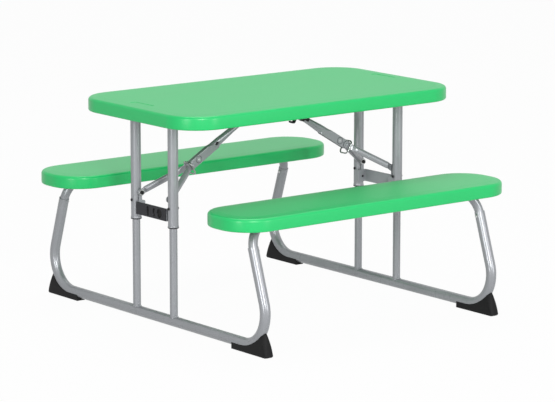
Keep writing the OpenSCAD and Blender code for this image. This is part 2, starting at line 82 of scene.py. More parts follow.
class Side(Named):
    """The two long sides of the table, with the sign of their Y."""

    NEAR = -1
    FAR = 1


# ---- numpy geometry


def smooth_step(t: Grid) -> Grid:
    """The curve 3t^2 - 2t^3 on values held between 0 and 1."""
    t = np.clip(t, 0.0, 1.0)
    return t * t * (3 - 2 * t)


def hill(t: Grid, high: float, at: float, wide: float) -> Grid:
    """The bell high * exp(-((t - at) / wide)^2)."""
    return high * np.exp(-(((t - at) / wide) ** 2))


def around(count: int) -> Grid:
    """Angles that go evenly round a circle, without the last one."""
    return np.linspace(0, 2 * np.pi, count, endpoint=False)


def arc(centre: Pair, radius: float, start: float, stop: float, count: int) -> Grid:
    """Points of a plane arc, centre + radius (cos a, sin a), for a in degrees.

    Args:
        centre: middle of the arc.
        radius: its radius.
        start: first angle.
        stop: last angle.
        count: how many points.

    Returns:
        An array of count by 2.
    """
    a = np.radians(np.linspace(start, stop, count))
    return np.column_stack([centre[0] + radius * np.cos(a), centre[1] + radius * np.sin(a)])


def rounded_line(points: Profile, radii: list[float], steps: int) -> Grid:
    """A plane line through points, each inner corner replaced by an arc tangent to both legs.

    Args:
        points: corners of the line.
        radii: bend radius at each inner corner.
        steps: points on each arc.

    Returns:
        An array of points by 2.
    """
    p = np.array(points, float)
    out = [p[:1]]
    for i, radius in enumerate(radii, start=1):
        a, b = p[i - 1] - p[i], p[i + 1] - p[i]
        a, b = a / np.linalg.norm(a), b / np.linalg.norm(b)
        half = 0.5 * math.acos(np.clip(a @ b, -1, 1))
        middle = p[i] + (a + b) / np.linalg.norm(a + b) * radius / math.sin(half)
        start, stop = p[i] + a * radius / math.tan(half), p[i] + b * radius / math.tan(half)
        u, v = start - middle, stop - middle
        turn = math.atan2(u[0] * v[1] - u[1] * v[0], u @ v)
        t = np.linspace(0, turn, steps)[:, None]
        w = np.array([-u[1], u[0]])
        out.append(middle + u * np.cos(t) + w * np.sin(t))
    out.append(p[-1:])
    return np.vstack(out)


def resampled(line: Grid, step: float) -> Grid:
    """The same line with its long legs cut into pieces no longer than step.

    Args:
        line: its points.
        step: greatest distance between points.

    Returns:
        An array of points by 2.
    """
    length = np.linalg.norm(np.diff(line, axis=0), axis=1)
    parts = np.maximum(1, np.ceil(length / step)).astype(int)
    start = np.repeat(line[:-1], parts, axis=0)
    leg = np.repeat(np.diff(line, axis=0) / parts[:, None], parts, axis=0)
    index = np.arange(parts.sum()) - np.repeat(np.cumsum(parts) - parts, parts)
    return np.vstack([start + leg * index[:, None], line[-1:]])


def bent_line(half: Profile, bend: float, steps: int, step: float) -> Grid:
    """A line through two corners and their mirror images across x = 0, with its bends rounded.

    Args:
        half: the end and the bend on one side.
        bend: radius of the bends.
        steps: points on each bend.
        step: greatest distance between points.

    Returns:
        An array of points by 2.
    """
    corners = half + [(-x, z) for x, z in half[::-1]]
    return resampled(rounded_line(corners, [bend, bend], steps), step)


def swept(path: Grid, side: Triple, across: Grid, along: Grid) -> Grid:
    """A section carried along a path that lies in one plane.

    Each station adds across * side + along * normal to its point, where normal is the
    cross product of side and the path's tangent.

    Args:
        path: n points of the path.
        side: unit vector square to the path's plane.
        across: n by m distances along side.
        along: n by m distances along the normal.

    Returns:
        A grid of n by m points.
    """
    tangent = np.gradient(path, axis=0)
    tangent /= np.linalg.norm(tangent, axis=1, keepdims=True)
    side_v = np.array(side, float)
    normal = np.cross(side_v, tangent)
    return path[:, None] + across[..., None] * side_v + along[..., None] * normal[:, None]


def ring_section(radius: Grid, count: int) -> tuple[Grid, Grid]:
    """A circle's two coordinates at each station, for a radius that may change."""
    a, radius = around(count), np.atleast_1d(radius)[:, None]
    return radius * np.cos(a), radius * np.sin(a)


def bulged(half_a: Grid, half_b: Grid, power: Grid, count: int) -> tuple[Grid, Grid]:
    """A superellipse at each station: half sizes times |cos|^(2/p) and |sin|^(2/p), with signs.

    Args:
        half_a: half size along the first axis, at each station.
        half_b: half size along the second.
        power: p, which is 2 for an ellipse and more for a box.
        count: points round the section.

    Returns:
        Two arrays of stations by count.
    """
    a, p = around(count), 2 / power[:, None]
    waves = ((half_a, np.cos(a)), (half_b, np.sin(a)))
    return tuple(half[:, None] * np.sign(w) * np.abs(w) ** p for half, w in waves)


def border(grid: Grid) -> Grid:
    """The points round the edge of a grid, in order."""
    return np.concatenate([grid[0], grid[1:, -1], grid[-1, -2::-1], grid[-2:0:-1, 0]])


def prism(loop: Grid, axis: int, low: float, high: float) -> Grid:
    """A plane loop at two places along an axis, which is 0 for X, 1 for Y and 2 for Z."""
    return np.stack([np.insert(loop, axis, v, axis=1) for v in (low, high)])


def linked(name: str, data: ID) -> Object:
    """A new object in the scene, at the origin.

    Args:
        name: its name.
        data: its mesh, light or camera.

    Returns:
        The object.
    """
    made = bpy.data.objects.new(name, data)
    bpy.context.scene.collection.objects.link(made)
    return made


def rounded_edges(piece: Object, width: float, sharp: float) -> Modifier:
    """A rounding so many millimetres wide on edges sharper than so many degrees.

    Args:
        piece: the object.
        width: of the rounding.
        sharp: least angle of an edge.

    Returns:
        The modifier.
    """
    rounding = piece.modifiers.new("edges", "BEVEL")
    rounding.width, rounding.segments = width * MM, 2
    rounding.limit_method, rounding.angle_limit = "ANGLE", math.radians(sharp)
    return rounding


@dataclass
class Shell:
    """A closed surface gathered from grids and loops, in millimetres."""

    points: list[Grid] = field(default_factory=list)
    quads: list[Grid] = field(default_factory=list)
    caps: list[list[int]] = field(default_factory=list)
    marks: list[Grid] = field(default_factory=list)
    count: int = 0

    def grid(self, grid: Grid, wrap: bool = False, mark: float | Grid = 0.0) -> "Shell":
        """Adds a grid of points as quads.

        Args:
            grid: n by m by 3 points.
            wrap: the last column joins the first.
            mark: value of the surface attribute, one or for each point.

        Returns:
            The shell itself.
        """
        n, m = grid.shape[:2]
        index = self.count + np.arange(n * m).reshape(n, m)
        right = np.roll(index, -1, axis=1) if wrap else index[:, 1:]
        left = index if wrap else index[:, :-1]
        self.quads.append(
            np.stack([left[:-1], right[:-1], right[1:], left[1:]], axis=-1).reshape(-1, 4)
        )
        self.points.append(grid.reshape(-1, 3))
        self.marks.append(np.broadcast_to(mark, (n, m)).reshape(-1).astype(float))
        self.count += n * m
        return self

    def cap(self, loop: Grid) -> "Shell":
        """Closes a loop of points with one flat face.

        Args:
            loop: the points in order.

        Returns:
            The shell itself.
        """
        self.points.append(loop)
        self.marks.append(np.zeros(len(loop)))
        self.caps.append(list(range(self.count, self.count + len(loop))))
        self.count += len(loop)
        return self

    def moved(self, matrix: Grid, offset: Grid) -> "Shell":
        """Turns and shifts every point: matrix times the point, plus offset."""
        self.points = [p @ matrix.T + offset for p in self.points]
        return self

    def joined(self, other: "Shell") -> "Shell":
        """Adds another shell's surfaces to this one.

        Args:
            other: the shell to add.

        Returns:
            The shell itself.
        """
        self.quads += [q + self.count for q in other.quads]
        self.caps += [[i + self.count for i in c] for c in other.caps]
        self.points += other.points
        self.marks += other.marks
        self.count += other.count
        return self

    def capped(self, grid: Grid) -> "Shell":
        """Adds a tube-like grid with a flat face at each end."""
        return self.grid(grid, True).cap(grid[0]).cap(grid[-1])

    def built(self, name: str, sharp: float, bevel: float) -> Object:
        """Makes the mesh object, with doubled points merged and faces turned outwards.

        Args:
            name: the piece's name.
            sharp: edges sharper than this many degrees stay crisp.
            bevel: width of a rounding on those edges, in millimetres.

        Returns:
            The new object, at the origin.
        """
        points = np.vstack(self.points) * MM
        faces = np.vstack(self.quads).tolist() + self.caps
        mesh = bpy.data.meshes.new(name)
        mesh.from_pydata(points.tolist(), [], faces)
        marks = mesh.attributes.new("mark", "FLOAT", "POINT")
        marks.data.foreach_set("value", np.concatenate(self.marks).astype(np.float32))
        shape = bmesh.new()
        shape.from_mesh(mesh)
        bmesh.ops.remove_doubles(shape, verts=shape.verts, dist=MERGED)
        bmesh.ops.dissolve_degenerate(shape, edges=shape.edges, dist=SLIVER)
        bmesh.ops.recalc_face_normals(shape, faces=shape.faces)
        shape.to_mesh(mesh)
        shape.free()
        mesh.polygons.foreach_set("use_smooth", np.ones(len(mesh.polygons), bool))
        mesh.set_sharp_from_angle(angle=math.radians(sharp))
        piece = linked(name, mesh)
        if bevel:
            rounded_edges(piece, bevel, sharp)
        return piece


def tube(
    path: Grid,
    side: Triple,
    radius: float,
    wall: float,
    count: int,
    start: Grid | None = None,
) -> Shell:
    """A hollow tube along a plane path, with its wall showing at both open ends.

    Circles of the outer and the inner radius follow the path, and at each end both step
    back by a quarter of a millimetre to round the edges of the wall.

    Args:
        path: points of the centre line.
        side: unit vector square to its plane.
        radius: outer radius.
        wall: thickness.
        count: points round the tube.
        start: replaces the first ring of points, where the tube is cut to a saddle.

    Returns:
        The closed shell.
    """
    n, soft = len(path), 0.25
    grids = [
        swept(path, side, *ring_section(np.full(n, r), count))
        for r in (radius, radius - soft, radius - wall + soft, radius - wall)
    ]
    outer, edge, edge_in, inner = grids
    if start is not None:
        for grid in grids:
            grid[0] = start + (grid[1] - outer[1])
    for i, beside in ((0, 1), (-1, -2)):
        if i or start is None:
            leg = path[beside] - path[i]
            outer[i] += leg / np.linalg.norm(leg) * soft
            inner[i] += leg / np.linalg.norm(leg) * soft
    shell = Shell().grid(outer, wrap=True).grid(inner, wrap=True)
    for i in (0, -1):
        shell.grid(np.stack([outer[i], edge[i], edge_in[i], inner[i]]), wrap=True)
    return shell


def square_axes(axis: Triple, aside: Triple) -> tuple[Grid, Grid, Grid]:
    """Three unit vectors: x square to axis and aside, y square to both, z along axis.

    Args:
        axis: direction of z.
        aside: any other direction.

    Returns:
        The vectors x, y and z.
    """
    z = np.array(axis, float) / np.linalg.norm(axis)
    x = np.cross(z, aside)
    x /= np.linalg.norm(x)
    return x, np.cross(z, x), z


def turned(profile: Profile, origin: Triple, axis: Triple, count: int) -> Shell:
    """A profile of (radius, height) turned round an axis.

    Args:
        profile: from the axis at one end to the axis at the other, or a closed ring.
        origin: point on the axis at height 0.
        axis: direction of height.
        count: points round the axis.

    Returns:
        The closed shell.
    """
    x, y, z = square_axes(axis, (0, 0, 1) if abs(axis[2]) < 0.9 else (1, 0, 0))
    p, a = np.array(profile, float), around(count)[None, :, None]
    ring = p[:, 0][:, None, None] * (np.cos(a) * x + np.sin(a) * y)
    return Shell().grid(np.array(origin, float) + ring + p[:, 1][:, None, None] * z, wrap=True)


# ---- shader language


class Sum:
    """A node socket in an expression. Arithmetic on it adds Math nodes to its tree."""

    def __init__(self, tree: "Tree", socket: NodeSocket) -> None:
        """Holds a socket and the tree that it is in."""
        self.tree, self.socket = tree, socket

    def _math(self, operation: str, *values: "float | Sum") -> "Sum":
        """One Math node on the given values."""
        node = self.tree.node("ShaderNodeMath", {"operation": operation}, dict(enumerate(values)))
        return Sum(self.tree, node.outputs[0])

    def __add__(self, other: "float | Sum") -> "Sum":
        """self + other."""
        return self._math("ADD", self, other)

    __radd__ = __add__

    def __mul__(self, other: "float | Sum") -> "Sum":
        """self * other."""
        return self._math("MULTIPLY", self, other)

    __rmul__ = __mul__

    def __sub__(self, other: "float | Sum") -> "Sum":
        """self - other."""
        return self._math("SUBTRACT", self, other)

    def __rsub__(self, other: "float | Sum") -> "Sum":
        """other - self."""
        return self._math("SUBTRACT", other, self)

    def most(self, other: "float | Sum") -> "Sum":
        """The larger of self and other."""
        return self._math("MAXIMUM", self, other)

    def held(self) -> "Sum":
        """self held between 0 and 1."""
        node = self.tree.node("ShaderNodeClamp", {}, {0: self})
        return Sum(self.tree, node.outputs[0])


class Tree:
    """The node tree of a material or of the world."""

    def __init__(self, name: str, owner: World | None = None) -> None:
        """Makes the material, or takes over the world that is given, with an empty tree.

        Args:
            name: of a new material.
            owner: the world whose tree is used instead.
        """
        self.owner = owner or bpy.data.materials.new(name)
        self.owner.use_nodes = True
        self.nodes = self.owner.node_tree.nodes
        self.links = self.owner.node_tree.links
        self.nodes.clear()

    @cached_property
    def place(self) -> Sum:
        """The object's own coordinates, in metres."""
        return Sum(self, self.nodes.new("ShaderNodeTexCoord").outputs["Object"])

    def node(self, kind: str, settings: dict, inputs: dict) -> Node:
        """Adds one node, with its settings first and then its sockets.

        Args:
            kind: the node's type.
            settings: its properties.
            inputs: values or links by socket name or number.

        Returns:
            The node.
        """
        made = self.nodes.new(kind)
        for key, value in settings.items():
            setattr(made, key, value)
        for key, value in inputs.items():
            if isinstance(value, Sum):
                self.links.new(value.socket, made.inputs[key])
            else:
                made.inputs[key].default_value = value
        return made

    def noise(self, scale: float, detail: float = 2.0, stretch: Triple = (1.0, 1.0, 1.0)) -> Sum:
        """Noise at so many waves per metre, after an optional stretch of the coordinates.

        Args:
            scale: waves per metre.
            detail: octaves.
            stretch: factors on the coordinates.

        Returns:
            The noise, 0.5 on average.
        """
        where = self.node("ShaderNodeMapping", {}, {"Vector": self.place, "Scale": stretch})
        inputs = {"Vector": Sum(self, where.outputs[0]), "Scale": scale, "Detail": detail}
        return Sum(self, self.node("ShaderNodeTexNoise", {}, inputs).outputs["Fac"])

    def cells(self, scale: float) -> Sum:
        """Distance to the nearest point of a scatter at so many per metre."""
        made = self.node("ShaderNodeTexVoronoi", {}, {"Vector": self.place, "Scale": scale})
        return Sum(self, made.outputs["Distance"])

    def mark(self) -> Sum:
        """The value that each shell keeps for its points."""
        made = self.node("ShaderNodeAttribute", {"attribute_name": "mark"}, {})
        return Sum(self, made.outputs["Fac"])

    def blend(self, factor: "Sum | float", low: "tuple | Sum", high: "tuple | Sum") -> Sum:
        """A colour between low and high.

        Args:
            factor: 0 for low and 1 for high.
            low: a colour.
            high: another.

        Returns:
            The colour between them.
        """
        low, high = (c if isinstance(c, Sum) else (*c, 1.0) for c in (low, high))
        made = self.node("ShaderNodeMix", {"data_type": "RGBA"}, {0: factor, 6: low, 7: high})
        return Sum(self, made.outputs[2])

    def seen(self) -> Sum:
        """1 for rays from the camera, from gloss and through glass, 0 for scattered light.

        Returns:
            The factor.
        """
        path = self.node("ShaderNodeLightPath", {}, {})
        kinds = ("Camera", "Glossy", "Transmission")
        camera, gloss, glass = (Sum(self, path.outputs[f"Is {kind} Ray"]) for kind in kinds)
        return camera.most(gloss).most(glass)

    def mixed(self, factor: Sum, low: Node, high: Node) -> Node:
        """A Mix Shader between two shader nodes."""
        shaders = {1: Sum(self, low.outputs[0]), 2: Sum(self, high.outputs[0])}
        return self.node("ShaderNodeMixShader", {}, {0: factor, **shaders})

    def closed(self, shader: Node, kind: str = "Material") -> Material:
        """Joins a shader to the output and returns the tree's owner.

        Args:
            shader: node whose first output is shown.
            kind: Material or World.

        Returns:
            The material or world.
        """
        out = self.nodes.new(f"ShaderNodeOutput{kind}")
        self.links.new(shader.outputs[0], out.inputs[0])
        return self.owner

    def bump(self, height: Sum, depth: float) -> Sum:
        """A Bump node whose height of 1 stands for depth metres."""
        inputs = {"Height": height, "Distance": depth, "Strength": 1.0}
        return Sum(self, self.node("ShaderNodeBump", {}, inputs).outputs[0])

    def surface(self, **inputs: "float | tuple | Sum") -> Material:
        """Closes the tree with one Principled shader, whose sockets take inputs."""
        named = {key.replace("_", " "): value for key, value in inputs.items()}
        return self.closed(self.node("ShaderNodeBsdfPrincipled", {}, named))


def linear(red: int, green: int, blue: int) -> Triple:
    """A screen colour of 0 to 255 as linear light.

    Args:
        red: its red.
        green: its green.
        blue: its blue.

    Returns:
        Three shares of 1.
    """
    return tuple(
        c / 12.92 if c <= 0.04045 else ((c + 0.055) / 1.055) ** 2.4
        for c in (red / 255, green / 255, blue / 255)
    )


# ---- finishes


def shade(colour: Triple, gain: float, lift: float = 0.0) -> Triple:
    """A colour times gain plus lift, held to 1."""
    return tuple(min(1.0, c * gain + lift) for c in colour)


@dataclass(frozen=True)
class MouldedPlastic:
    """Blow-moulded coloured plastic: satin and grained where mark is 1, smooth elsewhere."""

    name: str
    colour: Triple
    satin: float = 0.42
    smooth: float = 0.33
    grain: float = 0.00004

    def material(self) -> Material:
        """Mixes a faintly cloudy colour, grain in the field and soft ripples in the relief.

        Returns:
            The material.
        """
        t = Tree(self.name)
        satin, cloud, fine = t.mark().held(), t.noise(7.0, 3.0), t.noise(1500.0, 2.0)
        rough = self.smooth + satin * (self.satin - self.smooth) + (cloud - 0.5) * 0.03
        height = satin * (fine - 0.5) + (t.noise(70.0) - 0.5) * 0.4
        return t.surface(
            Base_Color=t.blend(cloud, shade(self.colour, 0.97), shade(self.colour, 1.03, 0.002)),
            Roughness=(rough + (fine - 0.5) * 0.04).held(),
            Normal=t.bump(height, self.grain),
            IOR=1.46,
        )


@dataclass(frozen=True)
class PowderCoat:
    """Silver powder coat on steel: fine metal flake in a satin skin, with black painted shade where
    mark is 1.
    """

    name: str
    colour: Triple
    metallic: float = 0.4
    rough: float = 0.31
    # grey of the painted shade where mark is 1: black standing in for the shade of holes and of a
    # ring round a rivet
    hole_shade: float = 0.006

    def material(self) -> Material:
        """Mixes flakes in colour and metal, scratches in roughness, orange peel in relief and black
        painted shade where mark is 1.

        Returns:
            The material.
        """
        t = Tree(self.name)
        flake = (1.0 - t.cells(1900.0) * 1.3).held()
        cloud, peel = t.noise(14.0, 3.0), t.noise(620.0, 1.5)
        scratches = t.noise(90.0, 5.0, (1.0, 1.0, 0.12))
        # where mark is 1 the colour goes black: painted shade in a pit that stands for a hole, and
        # a painted shadow ring round a rivet
        pit = t.mark().held()
        mottle = (cloud * 0.5 + flake * 0.5).held()
        coat = t.blend(mottle, shade(self.colour, 0.88), shade(self.colour, 1.1))
        return t.surface(
            Base_Color=t.blend(pit, coat, (self.hole_shade,) * 3),
            Metallic=((self.metallic + (flake - 0.5) * 0.12) * (1.0 - pit)).held(),
            Roughness=(self.rough + (scratches - 0.5) * 0.12 - flake * 0.04 + pit * 0.4).held(),
            Specular_IOR_Level=0.4,
            Normal=t.bump(peel, 0.00002),
        )


@dataclass(frozen=True)
class PlatedSteel:
    """Zinc plating: bright metal with faint spangle and rubbed streaks."""

    name: str
    colour: Triple
    rough: float = 0.3

    def material(self) -> Material:
        """Mixes spangle in colour and streaks in roughness and relief.

        Returns:
            The material.
        """
        t = Tree(self.name)
        spangle, streaks = t.cells(220.0), t.noise(240.0, 4.0, (1.0, 0.2, 1.0))
        return t.surface(
            Base_Color=t.blend((spangle * 1.2).held(), shade(self.colour, 0.8), self.colour),
            Metallic=1.0,
            Roughness=(self.rough + (streaks - 0.5) * 0.2 + spangle * 0.06).held(),
            Normal=t.bump(streaks, 0.00002),
        )


@dataclass(frozen=True)
class DarkPlastic:
    """Dark injection-moulded plastic with a fine grain and paler rubbed places."""

    name: str
    colour: Triple
    rough: float = 0.5
    grain: float = 0.00004
    # colour of the painted shade in holes, where mark is 1
    hole_shade: float = 0.002

    def material(self) -> Material:
        """Mixes grain, paler rubbed patches, and black painted shade in holes, where mark is 1.

        Returns:
            The material.
        """
        t = Tree(self.name)
        grain, rub = t.noise(1300.0, 3.0), t.noise(26.0, 5.0)
        skin = t.blend(((rub - 0.45) * 1.4).held(), self.colour, shade(self.colour, 1.35, 0.002))
        return t.surface(
            # black painted shade where mark is 1, standing in for the shade of deep holes
            Base_Color=t.blend(t.mark().held(), skin, (self.hole_shade,) * 3),
            Roughness=(self.rough + (rub - 0.5) * 0.16 + (grain - 0.5) * 0.1).held(),
            Specular_IOR_Level=0.2,
            Normal=t.bump(grain, self.grain),
        )


@dataclass(frozen=True)
class Finish:
    """A material, and the slot of the record that it shows."""

    material: Material
    slot: str


class Palette:
    """Every finish of the table, made once."""

    def __init__(self) -> None:
        """Makes the materials."""
        green = linear(24, 180, 98)
        self.top = Finish(MouldedPlastic("green_top_plastic", green).material(), "green_top")
        seat = MouldedPlastic("green_seat_plastic", green, 0.4)
        self.seat = Finish(seat.material(), "green_seat")
        coat = PowderCoat("silver_coat", linear(146, 148, 152))
        self.coat = Finish(coat.material(), "grey_steel")
        sheet = PowderCoat("silver_coat_sheet", linear(146, 149, 153), 0.25, 0.38).material()
        self.sheet, self.pin = Finish(sheet, "grey_sheet"), Finish(sheet, "zinc")
        self.zinc = Finish(PlatedSteel("zinc_plate", linear(188, 191, 190)).material(), "zinc")
        self.wire = Finish(PlatedSteel("zinc_wire", linear(150, 154, 152), 0.22).material(), "zinc")
        self.foot, self.insert, self.clip, self.dark = (
            Finish(DarkPlastic(name, linear(*colour), rough, grain).material(), "black_plastic")
            for name, colour, rough, grain in (
                ("charcoal_plastic", (8, 8, 9), 0.64, 0.00004),
                ("charcoal_insert", (40, 40, 44), 0.5, 0.00004),
                ("black_plastic", (12, 16, 15), 0.36, 0.00002),
                ("black_fastener", (20, 20, 22), 0.38, 0.00001),
            )
        )


# ---- sub-assemblies


def placed(
    shell: Shell,
    body: str,
    finish: Finish,
    node: str,
    form: str = "",
    sharp: float = 40.0,
    bevel: float = 0.0,
) -> None:
    """Makes a piece of a shell, gives it body and finish, and hides its solid.

    Args:
        shell: the piece's surface.
        body: the body that it rides on.
        finish: its material and slot.
        node: the solid that it stands for, or else the piece's own name.
        form: word added to the solid's name. Without it no solid is hidden.
        sharp: edges sharper than this many degrees stay crisp.
        bevel: width of a rounding on those edges, in millimetres.
    """
    piece = shell.built(f"{node}_{form}" if form else node, sharp, bevel)
    piece.data.materials.append(finish.material)
    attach(piece, body)
    if form:
        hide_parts(node)
    log.info("%s on %s, %d faces", piece.name, body, len(piece.data.polygons))


def kept(node: str, finish: Finish, bevel: float) -> None:
    """Dresses a solid that stays: its edges are rounded by modifiers and it takes a finish.

    Args:
        node: the solid.
        finish: its material and slot.
        bevel: width of the rounding, in mm.
    """
    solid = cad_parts[node]
    solid.data.materials.clear()
    solid.data.materials.append(finish.material)
    solid.modifiers.new("joined", "WELD").merge_threshold = WELDED
    flat = solid.modifiers.new("flat", "DECIMATE")
    flat.decimate_type, flat.angle_limit = "DISSOLVE", math.radians(1.0)
    rounded_edges(solid, bevel, 38).harden_normals = True
    log.info("%s kept, dressed as %s", node, finish.material.name)


def pan_head(
    origin: Triple, axis: Triple, radius: float, height: float, recess: float = 0.0
) -> Shell:
    """A domed head, height times (1 - 0.65 (r/R)^3), with a cross sunk in it.

    Args:
        origin: middle of the seat of the head.
        axis: the way that the head faces.
        radius: outer radius.
        height: at the middle.
        recess: depth of the cross.

    Returns:
        The closed shell.
    """
    x, y, z = square_axes(axis, (0.31, 0.52, 0.8))
    r = np.concatenate([[0.0], np.linspace(0.08, 0.96, 14), [1.0, 1.0]])[:, None] * radius
    a = around(48)[None]
    u, v = r * np.cos(a), r * np.sin(a)
    arm = np.minimum(np.abs(u), np.abs(v)) / radius
    cross = smooth_step((0.2 - arm) / 0.08) * smooth_step((0.62 - r / radius) / 0.1)
    up = height * (1 - 0.65 * (r / radius) ** 3) - recess * cross
    up[-1] = 0.0
    points = np.array(origin, float) + u[..., None] * x + v[..., None] * y + up[..., None] * z
    return Shell().grid(points, wrap=True).cap(points[-1])


def rivet(
    origin: Triple, axis: Triple, shank: float, head: float, seat: float, reach: float
) -> Shell:
    """A shank along an axis with one domed head at each end, between seat and reach.

    Args:
        origin: middle of the shank.
        axis: its direction.
        shank: its radius.
        head: radius of the heads.
        seat: distance from the middle to the seat of a head.
        reach: distance from the middle to the top of a head.

    Returns:
        The closed shell.
    """
    dome = [(0.0, reach), (0.45 * head, reach - 0.03 * head), (0.8 * head, reach - 0.14 * head)]
    dome += [(head, max(seat + 0.1, reach - 0.3 * head)), (head, seat), (shank, seat - 0.05)]
    return turned(dome + [(r, -h) for r, h in reversed(dome)], origin, axis, 36)


@dataclass
class Panel:
    """A moulded panel: a satin field inside a smooth rounded rim, open underneath.

    The plan is a core rectangle whose points move out by the corner radius along their
    normals, so every loop at an inset is core + (radius - inset) * normal.
    """

    node: str
    form: str
    body: str
    length: float
    width: float
    corner: float
    depth: float
    top: float
    plate: float
    wall: float
    centre_y: float = 0.0
    rim: float = 26.0
    lip: float = 5.0
    step: float = 4.6
    groove: Triple = (0.0, 0.0, 0.0)
    groove_slope: float = 0.8
    groove_room: float = 12.0
    patches: tuple[Pair, ...] = ()
    patch_half: Pair = (7.5, 38.0)
    patch_depth: float = 0.9
    dimple: Triple = (3.4, 9.0, 5.5)
    dimple_pitch: Pair = (44.0, 38.0)
    dimple_margin: Pair = (34.0, 30.0)

    def _axis(self, half: float, lines: list[float]) -> tuple[Grid, Grid]:
        """Places along one axis: positions in the core, and the share of the corner beyond it.

        Args:
            half: half length of the core.
            lines: places that the grid has to meet.

        Returns:
            The places, and the shares.
        """
        soft = self.corner - self.rim
        core = np.linspace(-half, half, int(2 * half / self.step) + 1)
        inner = [v for v in lines if abs(v) < half]
        core = np.unique(np.round(np.concatenate([core, inner]), 3))
        beyond = [(v - half) / soft for v in lines if half < v < half + soft]
        reach = np.concatenate([np.linspace(0, 1, int(soft / self.step) + 1), beyond])
        reach = np.unique(np.round(reach, 5))[1:]
        edge = np.full(len(reach), half)
        return (
            np.concatenate([-edge, core, edge]),
            np.concatenate([-reach[::-1], np.zeros(len(core)), reach]),
        )

    def _sheet(self, inset: float) -> Grid:
        """The plan inside an inset as a grid, its corners filled by a square-to-disc map.

        In a corner the larger of the two shares is the distance, and their ratio the angle.

        Args:
            inset: distance in from the outline.

        Returns:
            A grid of points at height 0.
        """
        wide, long = self.patch_half
        reach, half, deep = self.groove
        xs = [x + s * (wide + e) for x, _ in self.patches for s in (-1, 1) for e in (0, 1)]
        ys = [y + s * (long + e) for _, y in self.patches for s in (-1, 1) for e in (0, 1)]
        if deep:
            xs += [s * (reach + e) for s in (-1, 1) for e in (0.0, self.groove_slope)]
            ys += [s * (half + e) for s in (-1, 1) for e in (0.0, self.groove_slope)]
        px, ex = self._axis(self.length / 2 - self.corner, xs)
        py, ey = self._axis(self.width / 2 - self.corner, ys)
        cx, cy = np.meshgrid(px, py, indexing="ij")
        u, v = np.meshgrid(ex, ey, indexing="ij")
        wider = np.abs(u) >= np.abs(v)
        flat, tall = np.where(u == 0, 1, u), np.where(v == 0, 1, v)
        turn = np.where(wider, np.pi / 4 * v / flat, np.pi / 2 - np.pi / 4 * u / tall)
        out = np.where(wider, u, v) * (self.corner - inset)
        return np.stack([cx + out * np.cos(turn), cy + out * np.sin(turn), cx * 0], axis=-1)

    def _loops(self, edge: Grid, inset: float, profile: Grid) -> Grid:
        """Loops that follow the edge of a sheet at the profile's insets and heights.

        Args:
            edge: points round the sheet.
            inset: of that sheet.
            profile: insets and heights.

        Returns:
            A grid with a loop for each row of the profile.
        """
        half = np.array([self.length / 2 - self.corner, self.width / 2 - self.corner])
        core = np.clip(edge[:, :2], -half, half)
        normal = (edge[:, :2] - core) / (self.corner - inset)
        plan = core + (self.corner - profile[:, :1, None]) * normal
        height = np.broadcast_to(profile[:, 1, None, None], (*plan.shape[:2], 1))
        return np.concatenate([plan, height], axis=-1)

    def _field(self) -> Grid:
        """The satin field, with a shallow plain recess at each patch.

        Returns:
            A grid of points.
        """
        sheet, (wide, long) = self._sheet(self.rim), self.patch_half
        sheet[..., 2] = self.depth
        for x, y in self.patches:
            inside = self.patch_depth * smooth_step(wide + 1 - np.abs(sheet[..., 0] - x))
            sheet[..., 2] -= inside * smooth_step(long + 1 - np.abs(sheet[..., 1] - y))
        return sheet

    def _underside(self) -> Grid:
        """The underside of the plate, with rows of dimples and the groove for the braces.

        Returns:
            A grid of points.
        """
        (reach, half, deep), slope = self.groove, self.groove_slope
        high, radius, fade = self.dimple
        sheet = self._sheet(self.wall + self.lip)
        x, y = sheet[..., 0], sheet[..., 1]
        pitch_x, pitch_y = self.dimple_pitch
        row = np.round(y / pitch_y)
        shift = np.where(row % 2 == 0, 0.0, pitch_x / 2)
        dx = x - shift - np.round((x - shift) / pitch_x) * pitch_x
        away = np.hypot(dx, y - row * pitch_y)
        margin_x, margin_y = self.dimple_margin
        room = (np.abs(x) < self.length / 2 - margin_x) & (np.abs(y) < self.width / 2 - margin_y)
        cut = 0.0
        if deep:
            room &= np.abs(y) > half + self.groove_room
            cut = deep * smooth_step((half + slope - np.abs(y)) / slope)
            cut *= smooth_step((reach + slope - np.abs(x)) / slope)
        dimples = high * smooth_step((radius - away) / fade) * room
        sheet[..., 2] = self.depth - self.plate + dimples + cut
        return sheet

    def build(self, finish: Finish) -> None:
        """Builds the panel from its field, rim, skirt, lip and underside.

        Args:
            finish: material and slot.
        """
        d, w, p, rim = self.depth, self.wall, self.plate, self.rim
        profile = np.vstack([
            [[rim, d], [rim - 0.8, d - 0.05], [rim - 1.8, d - 0.2], [rim - 2.8, d - 0.22]],
            [[rim - 4.0, d - 0.2], [rim - 6, d - 0.24], [17.0, d - 0.36], [12.0, d - 0.75]],
            arc((8.0, d - 9.0), 8.0, 90, 180, 12),
            [[0.0, d * 0.5]],
            arc((4.0, 4.0), 4.0, 180, 262, 6),
            [[w - 1.2, 0.0], [w - 0.3, 0.4], [w, 1.5], [w, d - p - 5.0], [w + 1.4, d - p - 1.6]],
            [[w + self.lip, d - p]],
        ])
        top, under = self._field(), self._underside()
        skirt = self._loops(border(top), rim, profile)
        mark = np.zeros((len(skirt), 1))
        mark[:8, 0] = (1.0, 1.0, 0.95, 0.9, 0.85, 0.8, 0.75, 0.7)
        mark[8:20, 0] = np.linspace(0.7, 0.0, 12)
        shell = Shell().grid(top, mark=1.0).grid(skirt, True, mark).grid(under)
        shell.moved(np.eye(3), np.array([0.0, self.centre_y, self.top - self.depth]))
        placed(shell, self.body, finish, self.node, self.form, 34.0)


